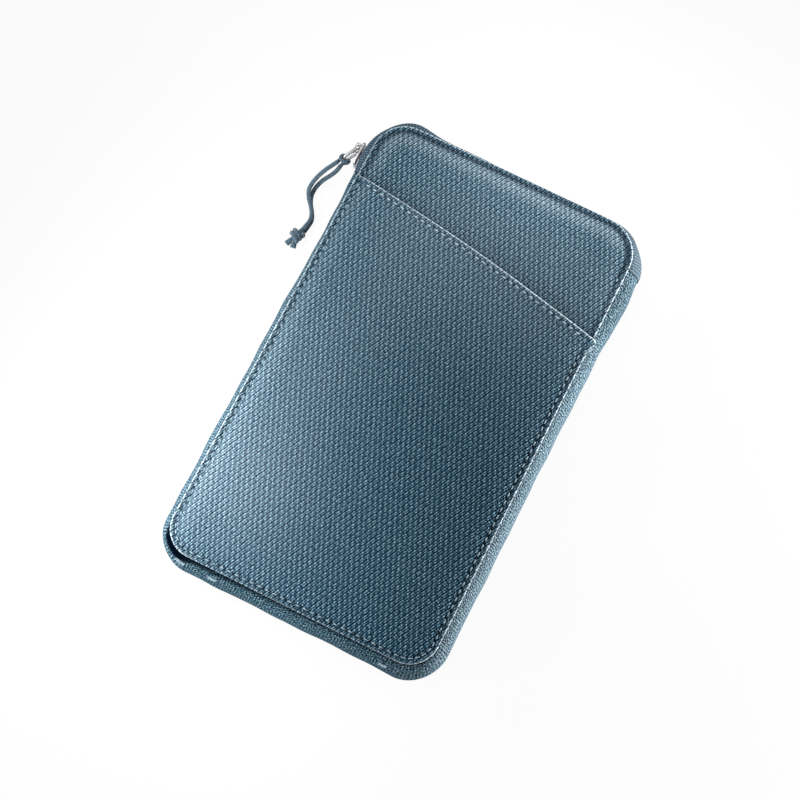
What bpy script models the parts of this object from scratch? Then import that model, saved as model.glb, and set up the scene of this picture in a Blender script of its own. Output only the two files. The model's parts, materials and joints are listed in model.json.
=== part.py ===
# A zipped travel pouch wallet that lies on its back: a padded fabric pouch with a slanted slip pocket on its
# front and a zip over its top edge. Metres, +Z up. The origin is on the resting face, at the panels' centre;
# +X runs across the front and +Y towards the top edge.

import math

import bmesh
import bpy
from mathutils import Matrix, Vector

for leftover in list(bpy.data.objects):
    bpy.data.objects.remove(leftover)

# The front and back panels
PANEL_WIDTH = 0.112
PANEL_LENGTH = 0.192
TOP_LEFT_RADIUS = 0.0165
CORNER_RADIUS = 0.012
CROWN = 0.0019
CROWN_REACH = 0.022
STITCH_INSET = 0.0022
STITCH_DIP = 0.00025

# Cloth, foam and the clear height inside
FABRIC = 0.0009
LINING = 0.0006
FOAM = 0.0015
FRONT_FOAM_EDGE = 0.0008
COMPARTMENT = 0.0058
GAP = 0.0003

# The wall between the panels
WALL_BULGE = 0.0035
SEAM = 0.0025
BACK_EDGE_INSET = 0.001

# The slip pocket's slanted edge and the zip's two ends, as drops below the top corners
HEM_LEFT_DROP = 0.0265
HEM_RIGHT_DROP = 0.046
ZIP_LEFT_DROP = 0.0255
ZIP_RIGHT_DROP = 0.0145

# The zip
TAPE = 0.0007
ZIP_SLIT = 0.0014
COIL_WIDTH = 0.002
COIL_DEPTH = 0.0013
STOP_LENGTH = 0.002
STOP_WALL = 0.0005

# The slider and its bail
SLIDER_LENGTH = 0.010
SLIDER_WIDTH = 0.008
SLIDER_PLATE = 0.001
SLIDER_CORNER = 0.0018
SLIDER_PLAY = 0.0005
POST_HEIGHT = 0.0008
POST_LENGTH = 0.003
BAIL_LENGTH = 0.0046
BAIL_FORWARD = 0.0022
BAIL_WIDTH = 0.0018
BAIL_WALL = 0.0009

# The pull loop
WIRE = 0.0013
LOOP_LENGTH = 0.0070
LOOP_WIDTH = 0.0056
LOOP_BEND = 0.001
LOOP_HEADING = math.radians(243)

# The pull cord
CORD = 0.0018
HITCH_WALL = 0.0015
HITCH_HEIGHT = 0.0034
KNOT_RADIUS = 0.003
TAIL_LENGTH = 0.0045

# Pockets inside
DOCUMENT_POCKET_HEIGHT = 0.150
SLEEVE_HEIGHT = 0.105
CARD_SLOTS = 3
CARD_SLOT_HEIGHT = 0.058
CARD_SLOT_STEP = 0.018
CARD_SLOT_DROP = 0.038

# Fineness of the round stretches
ARC_STEPS = 6
WALL_SHARES = (0.04, 0.14, 0.3, 0.5, 0.7, 0.86, 0.96)
CROWN_SHARES = (0.42, 0.7, 1.0)
CORD_SIDES = 12
TAIL_SIDES = 8
LEAST_RADIUS = 0.002
UNION_SINK = 0.0002

# Heights, stacked from the resting face up
HALF_W = PANEL_WIDTH / 2
HALF_L = PANEL_LENGTH / 2
BACK_FOAM_BOTTOM = FABRIC + GAP
BACK_LINING_BOTTOM = BACK_FOAM_BOTTOM + FOAM + GAP
DOCUMENT_BOTTOM = BACK_LINING_BOTTOM + LINING + GAP
SLEEVE_BOTTOM = DOCUMENT_BOTTOM + LINING + GAP
INSIDE_BOTTOM = SLEEVE_BOTTOM + LINING
INSIDE_TOP = INSIDE_BOTTOM + COMPARTMENT
FRONT_LINING_BOTTOM = INSIDE_TOP + CARD_SLOTS * (LINING + GAP)
FRONT_FOAM_BOTTOM = FRONT_LINING_BOTTOM + LINING + GAP
FRONT_PANEL_BOTTOM = FRONT_FOAM_BOTTOM + FRONT_FOAM_EDGE + STITCH_DIP + GAP
POCKET_BOTTOM = FRONT_PANEL_BOTTOM + FABRIC + GAP
FOLD_HEIGHT = FRONT_PANEL_BOTTOM + FABRIC + CROWN

# The wall's two seams, the zip's middle and what lies inside the seams
WALL_BOTTOM = FABRIC + GAP
WALL_TOP = FRONT_PANEL_BOTTOM - STITCH_DIP - GAP
ZIP_HEIGHT = (WALL_BOTTOM + WALL_TOP) / 2
INNER_INSET = SEAM + GAP
ZIP_LEFT_END = HALF_L - ZIP_LEFT_DROP
ZIP_RIGHT_END = HALF_L - ZIP_RIGHT_DROP


def wall_share(height, thickness):
    # How far up the wall a height is, from its bottom seam (0) to its top seam (1)
    return (height - WALL_BOTTOM - thickness / 2) / (WALL_TOP - WALL_BOTTOM - thickness)


def wall_offset(share, thickness):
    # How far the wall stands out from the panel's edge: it leaves each seam level and bulges between them
    return (WALL_BULGE - thickness / 2) * math.sin(math.pi * share) ** 0.5


COIL_FAR = ZIP_SLIT / 2 + COIL_WIDTH
COIL_OUTER = wall_offset(wall_share(ZIP_HEIGHT - COIL_FAR, TAPE), TAPE) - TAPE / 2 - GAP
COIL_INNER = COIL_OUTER - COIL_DEPTH

# The corners clockwise from the top left, seen from above: side along X, side along Y, radius, first heading
CORNERS = {
    "top_left": (-1, 1, TOP_LEFT_RADIUS, math.pi),
    "top_right": (1, 1, CORNER_RADIUS, math.pi / 2),
    "bottom_right": (1, -1, CORNER_RADIUS, 0),
    "bottom_left": (-1, -1, CORNER_RADIUS, -math.pi / 2),
}


def corner(name, inset):
    # Points round one corner of the panel's outline, drawn in by inset (out, where it is negative)
    side_x, side_y, radius, heading = CORNERS[name]
    radius = max(radius - inset, LEAST_RADIUS)
    centre = Vector((side_x * (HALF_W - inset - radius), side_y * (HALF_L - inset - radius)))
    angles = [heading - math.pi / 2 * step / ARC_STEPS for step in range(ARC_STEPS + 1)]
    return [centre + radius * Vector((math.cos(angle), math.sin(angle))) for angle in angles]


def outline(inset):
    return [point for name in CORNERS for point in corner(name, inset)]


def zip_run(offset):
    start = Vector((-HALF_W - offset, ZIP_LEFT_END + GAP))
    end = Vector((HALF_W + offset, ZIP_RIGHT_END + GAP))
    return [start, *corner("top_left", -offset), *corner("top_right", -offset), end]


def gusset_run(offset):
    start = Vector((HALF_W + offset, ZIP_RIGHT_END - GAP))
    end = Vector((-HALF_W - offset, ZIP_LEFT_END - GAP))
    return [start, *corner("bottom_right", -offset), *corner("bottom_left", -offset), end]


def paint(item, name, colour, roughness, metallic=0.0):
    material = bpy.data.materials.get(name) or bpy.data.materials.new(name)
    material.use_nodes = True
    shader = material.node_tree.nodes["Principled BSDF"]
    shader.inputs["Base Color"].default_value = (*colour, 1.0)
    shader.inputs["Roughness"].default_value = roughness
    shader.inputs["Metallic"].default_value = metallic
    material.diffuse_color = (*colour, 1.0)
    item.data.materials.append(material)


def twill(item):
    paint(item, "twill", (0.073, 0.146, 0.204), 0.9)


def lining_cloth(item):
    paint(item, "lining", (0.035, 0.06, 0.085), 0.8)


def foam(item):
    paint(item, "foam", (0.6, 0.6, 0.58), 0.95)


def zip_cloth(item):
    paint(item, "zip_tape", (0.09, 0.17, 0.23), 0.85)


def zip_nylon(item):
    paint(item, "zip_coil", (0.03, 0.06, 0.09), 0.5)


def metal(item):
    paint(item, "nickel", (0.75, 0.75, 0.76), 0.3, 1.0)


def cord_cloth(item):
    paint(item, "cord", (0.05, 0.11, 0.16), 0.85)


def add(item, axis=None):
    # Puts an object in the scene; one that moves hangs on the empty that marks its joint
    bpy.context.scene.collection.objects.link(item)
    item.parent = axis
    return item


def solid(name, mesh, finish, axis=None):
    bmesh.ops.recalc_face_normals(mesh, faces=mesh.faces)
    if axis:
        bmesh.ops.translate(mesh, verts=mesh.verts, vec=-axis.location)
    data = bpy.data.meshes.new(name)
    mesh.to_mesh(data)
    mesh.free()
    item = add(bpy.data.objects.new(name, data), axis)
    finish(item)
    return item


def loft(rings, ring_closed=False):
    # Skins rings of points into one body, with flat ends unless the last ring runs on into the first
    mesh = bmesh.new()
    loops = [[mesh.verts.new(point) for point in ring] for ring in rings]
    pairs = list(zip(loops, loops[1:]))
    if ring_closed:
        pairs.append((loops[-1], loops[0]))
    else:
        mesh.faces.new(loops[0])
        mesh.faces.new(loops[-1])
    for near, far in pairs:
        for step, vertex in enumerate(near):
            mesh.faces.new((near[step - 1], vertex, far[step], far[step - 1]))
    return mesh


def flat_sheet(inset, bottom, thickness):
    return loft([[(*point, height) for point in outline(inset)] for height in (bottom, bottom + thickness)])


def puff(inset):
    # Height of the front's crown at a distance inside the panel's edge, with the dip of its row of stitches
    share = min(inset / CROWN_REACH, 1.0)
    dip = STITCH_DIP if inset == STITCH_INSET else 0.0
    return CROWN * (1 - (1 - share) ** 2) - dip


def puffed_sheet(bottom, thickness, first_inset=0.0, flat_bottom=False):
    steps = (STITCH_INSET, 2 * STITCH_INSET, *[CROWN_REACH * share for share in CROWN_SHARES])
    insets = [first_inset, *[step for step in steps if step > first_inset]]
    lower = [(inset, bottom if flat_bottom else bottom + puff(inset)) for inset in reversed(insets)]
    upper = [(inset, bottom + thickness + puff(inset)) for inset in insets]
    return loft([[(*point, height) for point in outline(inset)] for inset, height in lower + upper])


def keep_side(mesh, point, towards):
    # Cuts a sheet along an upright plane and keeps the side that towards points to
    geometry = [*mesh.verts, *mesh.edges, *mesh.faces]
    bmesh.ops.bisect_plane(
        mesh, geom=geometry, plane_co=(*point, 0), plane_no=(*towards, 0), clear_inner=True, dist=1e-7
    )
    bmesh.ops.holes_fill(mesh, edges=[edge for edge in mesh.edges if edge.is_boundary])
    return mesh


class Line:
    # A straight line across the front, given by its heights on the left and right edges
    def __init__(self, left, right):
        self.start = Vector((-HALF_W, left))
        self.end = Vector((HALF_W, right))
        self.along = (self.end - self.start).normalized()
        self.up = Vector((-self.along.y, self.along.x))

    def above(self, mesh):
        return keep_side(mesh, self.start + self.up * GAP, self.up)

    def below(self, mesh):
        return keep_side(mesh, self.start - self.up * GAP, -self.up)


hem_line = Line(HALF_L - HEM_LEFT_DROP, HALF_L - HEM_RIGHT_DROP)
fold_line = Line(ZIP_LEFT_END, ZIP_RIGHT_END)


def marker(name, place):
    empty = bpy.data.objects.new(name, None)
    empty.location = place
    return add(empty)


# Places of the three joints
corner_centre = Vector((-HALF_W + TOP_LEFT_RADIUS, HALF_L - TOP_LEFT_RADIUS))
bail_bottom = WALL_BULGE + SLIDER_PLAY + SLIDER_PLATE
pivot_offset = bail_bottom + GAP + WIRE / 2
pivot = Vector((-HALF_W - pivot_offset, corner_centre.y + BAIL_FORWARD))
fold_axis = marker("fold_axis", (*fold_line.start, FOLD_HEIGHT))
slider_axis = marker("slider_axis", (*corner_centre, ZIP_HEIGHT))
pull_axis = marker("pull_axis", (*pivot, ZIP_HEIGHT))


def strip_profile(points, thickness):
    # A closed outline of even thickness about a line of points in the wall's cross-section
    outer, inner = [], []
    for step, point in enumerate(points):
        before = points[max(step - 1, 0)]
        after = points[min(step + 1, len(points) - 1)]
        along = (after - before).normalized()
        across = Vector((along.y, -along.x)) * thickness / 2
        outer.append(point + across)
        inner.append(point - across)
    return outer + inner[::-1]


def wall_points(thickness, low, high):
    # The line of the wall's cross-section between two shares of its height, with its seams
    bottom = WALL_BOTTOM + thickness / 2
    rise = WALL_TOP - WALL_BOTTOM - thickness
    shares = [low, *[share for share in WALL_SHARES if low < share < high], high]
    curve = [Vector((wall_offset(share, thickness), bottom + rise * share)) for share in shares]
    if low == 0:
        curve.insert(0, Vector((-SEAM, bottom)))
    if high == 1:
        curve.append(Vector((-SEAM, bottom + rise)))
    return curve


def sweep(run, profile):
    strands = [run(point.x) for point in profile]
    heights = [point.y for point in profile]
    return loft([
        [(*strand[step], height) for strand, height in zip(strands, heights)]
        for step in range(len(strands[0]))
    ])


# Panels, padding, linings and pockets
def build_back():
    solid("back_panel", flat_sheet(BACK_EDGE_INSET, 0, FABRIC), twill)
    solid("back_padding", flat_sheet(INNER_INSET, BACK_FOAM_BOTTOM, FOAM), foam)
    solid("back_lining", flat_sheet(INNER_INSET, BACK_LINING_BOTTOM, LINING), lining_cloth)
    pockets = (
        ("document_pocket", DOCUMENT_BOTTOM, DOCUMENT_POCKET_HEIGHT),
        ("passport_sleeve", SLEEVE_BOTTOM, SLEEVE_HEIGHT),
    )
    for name, bottom, height in pockets:
        top = -HALF_L + INNER_INSET + height
        sheet = keep_side(flat_sheet(INNER_INSET, bottom, LINING), (0, top), (0, -1))
        solid(name, sheet, lining_cloth)


def front_foam():
    return puffed_sheet(FRONT_FOAM_BOTTOM, FRONT_FOAM_EDGE, first_inset=INNER_INSET, flat_bottom=True)


def build_front():
    solid("front_panel", fold_line.below(puffed_sheet(FRONT_PANEL_BOTTOM, FABRIC)), twill)
    solid("front_pocket", hem_line.below(puffed_sheet(POCKET_BOTTOM, FABRIC)), twill)
    solid("front_padding", fold_line.below(front_foam()), foam)
    lining = flat_sheet(INNER_INSET, FRONT_LINING_BOTTOM, LINING)
    solid("front_lining", fold_line.below(lining), lining_cloth)
    for number in range(CARD_SLOTS):
        bottom = FRONT_LINING_BOTTOM - (number + 1) * (LINING + GAP)
        top = HALF_L - CARD_SLOT_DROP - number * CARD_SLOT_STEP
        sheet = keep_side(flat_sheet(INNER_INSET, bottom, LINING), (0, top), (0, -1))
        sheet = keep_side(sheet, (0, top - CARD_SLOT_HEIGHT), (0, 1))
        solid(f"card_slot_{number + 1}", sheet, lining_cloth)


def build_flap():
    solid("front_panel_top", fold_line.above(puffed_sheet(FRONT_PANEL_BOTTOM, FABRIC)), twill, fold_axis)
    solid("flap_padding", fold_line.above(front_foam()), foam, fold_axis)
    lining = flat_sheet(INNER_INSET, FRONT_LINING_BOTTOM, LINING)
    solid("flap_lining", fold_line.above(lining), lining_cloth, fold_axis)


# The wall and the zip in its top
def build_wall():
    solid("gusset", sweep(gusset_run, strip_profile(wall_points(FABRIC, 0, 1), FABRIC)), twill)
    lower_edge = wall_share(ZIP_HEIGHT - ZIP_SLIT / 2, TAPE)
    upper_edge = wall_share(ZIP_HEIGHT + ZIP_SLIT / 2, TAPE)
    back_tape = strip_profile(wall_points(TAPE, 0, lower_edge), TAPE)
    front_tape = strip_profile(wall_points(TAPE, upper_edge, 1), TAPE)
    solid("back_zip_tape", sweep(zip_run, back_tape), zip_cloth)
    solid("front_zip_tape", sweep(zip_run, front_tape), zip_cloth, fold_axis)


def coil_profile(side):
    near = ZIP_HEIGHT + side * ZIP_SLIT / 2
    far = ZIP_HEIGHT + side * COIL_FAR
    corners = ((COIL_OUTER, near), (COIL_OUTER, far), (COIL_INNER, far), (COIL_INNER, near))
    return [Vector(point) for point in corners]


def coil_run(offset):
    points = zip_run(offset)
    shift = Vector((0, STOP_LENGTH + GAP))
    return [points[0] + shift, *points[1:-1], points[-1] + shift]


def box(low, high):
    mesh = bmesh.new()
    bmesh.ops.create_cube(mesh, size=1)
    low = Vector(low)
    size = Vector(high) - low
    place = Matrix.Translation(low + size / 2) @ Matrix.Diagonal((*size, 1))
    bmesh.ops.transform(mesh, matrix=place, verts=mesh.verts)
    return mesh


def build_coils():
    solid("back_zip_coil", sweep(coil_run, coil_profile(-1)), zip_nylon)
    solid("front_zip_coil", sweep(coil_run, coil_profile(1)), zip_nylon, fold_axis)
    low_y = ZIP_LEFT_END + GAP
    high_y = low_y + STOP_LENGTH
    for name, side, axis in (("back_zip_stop", -1, None), ("front_zip_stop", 1, fold_axis)):
        heights = sorted(ZIP_HEIGHT + side * reach for reach in (ZIP_SLIT / 2, COIL_FAR))
        low = (-HALF_W - COIL_OUTER, low_y, heights[0])
        high = (-HALF_W - COIL_INNER + STOP_WALL, high_y, heights[1])
        solid(name, box(low, high), metal, axis)
    end_y = ZIP_RIGHT_END + GAP
    low = (HALF_W + COIL_INNER - STOP_WALL, end_y, ZIP_HEIGHT - COIL_FAR)
    high = (HALF_W + COIL_OUTER, end_y + STOP_LENGTH, ZIP_HEIGHT + ZIP_SLIT / 2 - GAP)
    solid("zip_end_stop", box(low, high), metal)


# The slider: two plates on a post that passes through the zip's slit, with a bail outside
def plate(inner_offset):
    half_length = SLIDER_LENGTH / 2
    half_width = SLIDER_WIDTH / 2
    low = (-HALF_W - inner_offset - SLIDER_PLATE, corner_centre.y - half_length, ZIP_HEIGHT - half_width)
    high = (-HALF_W - inner_offset, corner_centre.y + half_length, ZIP_HEIGHT + half_width)
    mesh = box(low, high)
    through = [edge for edge in mesh.edges if abs((edge.verts[0].co - edge.verts[1].co).x) > SLIDER_PLATE / 2]
    bmesh.ops.bevel(
        mesh, geom=through, offset=SLIDER_CORNER, segments=4, profile=0.5, affect="EDGES", material=-1
    )
    return mesh


def bail():
    top = bail_bottom + WIRE + 2 * GAP + BAIL_WALL
    hole = bail_bottom + WIRE + 2 * GAP
    half = BAIL_LENGTH / 2
    inner = half - BAIL_WALL
    root = bail_bottom - UNION_SINK
    arch = ((root, half), (top - BAIL_WALL, half), (top, inner), (top, -inner), (top - BAIL_WALL, -half),
            (root, -half), (root, -inner), (hole, -inner), (hole, inner), (root, inner))
    rings = [
        [(-HALF_W - offset, pivot.y + along, ZIP_HEIGHT + side * BAIL_WIDTH / 2) for offset, along in arch]
        for side in (-1, 1)
    ]
    return loft(rings)


def join(item, name, mesh):
    # Unites a helper body with an object; the helper itself is hidden
    helper = solid(name, mesh, metal, item.parent)
    helper.hide_render = True
    helper.display_type = "WIRE"
    union = item.modifiers.new(name, "BOOLEAN")
    union.operation = "UNION"
    union.solver = "EXACT"
    union.object = helper


def build_slider():
    outer = WALL_BULGE + SLIDER_PLAY
    coil_arc = TOP_LEFT_RADIUS + COIL_INNER
    sag = coil_arc - math.sqrt(coil_arc ** 2 - (SLIDER_LENGTH / 2) ** 2)
    inner = COIL_INNER - sag - SLIDER_PLAY - SLIDER_PLATE
    item = solid("zip_slider", plate(outer), metal, slider_axis)
    join(item, "slider_inner_plate", plate(inner))
    ends = (-HALF_W - outer - UNION_SINK, -HALF_W - inner - SLIDER_PLATE + UNION_SINK)
    low = (ends[0], corner_centre.y - POST_LENGTH / 2, ZIP_HEIGHT - POST_HEIGHT / 2)
    high = (ends[1], corner_centre.y + POST_LENGTH / 2, ZIP_HEIGHT + POST_HEIGHT / 2)
    join(item, "slider_post", box(low, high))
    join(item, "slider_bail", bail())


# The wire loop that swings in the bail
loop_along = Vector((math.cos(LOOP_HEADING), math.sin(LOOP_HEADING)))
far_bar = pivot + loop_along * LOOP_LENGTH


def tube(name, points, thickness, finish, axis, cyclic=False):
    data = bpy.data.curves.new(name, "CURVE")
    data.dimensions = "3D"
    data.bevel_depth = thickness / 2
    data.bevel_resolution = 2
    data.use_fill_caps = not cyclic
    spline = data.splines.new("POLY")
    spline.points.add(len(points) - 1)
    for point, place in zip(spline.points, points):
        point.co = (*(Vector(place) - axis.location), 1)
    spline.use_cyclic_u = cyclic
    item = add(bpy.data.objects.new(name, data), axis)
    finish(item)


def build_loop():
    centres = (
        (LOOP_LENGTH - LOOP_BEND, LOOP_WIDTH / 2 - LOOP_BEND, math.pi / 2),
        (LOOP_LENGTH - LOOP_BEND, LOOP_BEND - LOOP_WIDTH / 2, 0),
        (LOOP_BEND, LOOP_BEND - LOOP_WIDTH / 2, -math.pi / 2),
        (LOOP_BEND, LOOP_WIDTH / 2 - LOOP_BEND, math.pi),
    )
    points = []
    for along, height, heading in centres:
        for step in range(4):
            angle = heading - math.pi / 2 * step / 3
            place = pivot + loop_along * (along + LOOP_BEND * math.cos(angle))
            points.append((*place, ZIP_HEIGHT + height + LOOP_BEND * math.sin(angle)))
    tube("pull_loop", points, WIRE, metal, pull_axis, cyclic=True)


# The cord: a hitch round the loop's far bar, two strands and a knot with two tails.
# Routes are places on the pouch, in metres; a strand leaves the hitch and sinks to the floor.
UPPER_ROUTE = (
    (-0.0668, 0.0731, 0.0094), (-0.0683, 0.0706, 0.0090), (-0.0701, 0.0676, 0.0082), (-0.0720, 0.0637, 0.0062),
    (-0.0728, 0.0596, 0.0042), (-0.0716, 0.0566, 0.0033), (-0.0694, 0.0539, 0.0031), (-0.0674, 0.0510, 0.0031),
    (-0.0666, 0.0478, 0.0032), (-0.0673, 0.0434, 0.0036),
)
LOWER_ROUTE = (
    (-0.0654, 0.0725, 0.0076), (-0.0659, 0.0705, 0.0069), (-0.0673, 0.0681, 0.0055), (-0.0697, 0.0650, 0.0036),
    (-0.0712, 0.0615, 0.0017), (-0.0712, 0.0581, 0.0010), (-0.0699, 0.0549, 0.0010), (-0.0677, 0.0517, 0.0010),
    (-0.0664, 0.0484, 0.0010), (-0.0668, 0.0434, 0.0013),
)
KNOT_PLACE = Vector((-0.0686, 0.0402, KNOT_RADIUS))
TAIL_HEADINGS = (math.radians(238), math.radians(286))


def smooth_route(places, pitch):
    # Points about a pitch apart on a smooth curve through the places
    knots = [Vector(place) for place in places]
    ends = [2 * knots[0] - knots[1], *knots, 2 * knots[-1] - knots[-2]]
    points = []
    for step in range(1, len(ends) - 2):
        before, start, end, after = ends[step - 1:step + 3]
        pieces = max(1, round((end - start).length / pitch))
        for piece in range(pieces):
            share = piece / pieces
            bend = 2 * before - 5 * start + 4 * end - after
            twist = 3 * start - before - 3 * end + after
            points.append(start + ((end - before) * share + bend * share ** 2 + twist * share ** 3) / 2)
    return [*points, knots[-1]]


def ring_of(centre, radius, height, steps):
    angles = [2 * math.pi * step / steps for step in range(steps)]
    places = [centre + radius * Vector((math.cos(angle), math.sin(angle))) for angle in angles]
    return [(*place, height) for place in places]


def build_cord():
    bore = WIRE / 2 + GAP
    rim = bore + HITCH_WALL
    soft = HITCH_WALL / 3
    half = HITCH_HEIGHT / 2
    section = ((bore, -half), (rim - soft, -half), (rim, soft - half), (rim, half - soft), (rim - soft, half),
               (bore, half))
    rings = [ring_of(far_bar, radius, ZIP_HEIGHT + height, CORD_SIDES) for radius, height in section]
    solid("cord_hitch", loft(rings, ring_closed=True), cord_cloth, pull_axis)
    tube("cord_upper_strand", smooth_route(UPPER_ROUTE, 2 * CORD), CORD, cord_cloth, pull_axis)
    tube("cord_lower_strand", smooth_route(LOWER_ROUTE, 2 * CORD), CORD, cord_cloth, pull_axis)
    ball = bmesh.new()
    bmesh.ops.create_uvsphere(ball, u_segments=CORD_SIDES, v_segments=CORD_SIDES // 2, radius=KNOT_RADIUS)
    bmesh.ops.translate(ball, verts=ball.verts, vec=KNOT_PLACE)
    knot = solid("cord_knot", ball, cord_cloth, pull_axis)
    for number, heading in enumerate(TAIL_HEADINGS):
        along = Vector((math.cos(heading), math.sin(heading), 0))
        start = Vector((*KNOT_PLACE.xy, CORD / 2 + GAP)) + along * KNOT_RADIUS / 2
        turn = along.to_track_quat("Z", "Y").to_matrix().to_4x4()
        tail = bmesh.new()
        bmesh.ops.create_cone(
            tail, cap_ends=True, segments=TAIL_SIDES, radius1=CORD / 2, radius2=CORD / 2, depth=TAIL_LENGTH,
            matrix=Matrix.Translation(start + along * TAIL_LENGTH / 2) @ turn,
        )
        join(knot, f"cord_tail_{number + 1}", tail)


build_back()
build_front()
build_flap()
build_wall()
build_coils()
build_slider()
build_loop()
build_cord()
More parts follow.
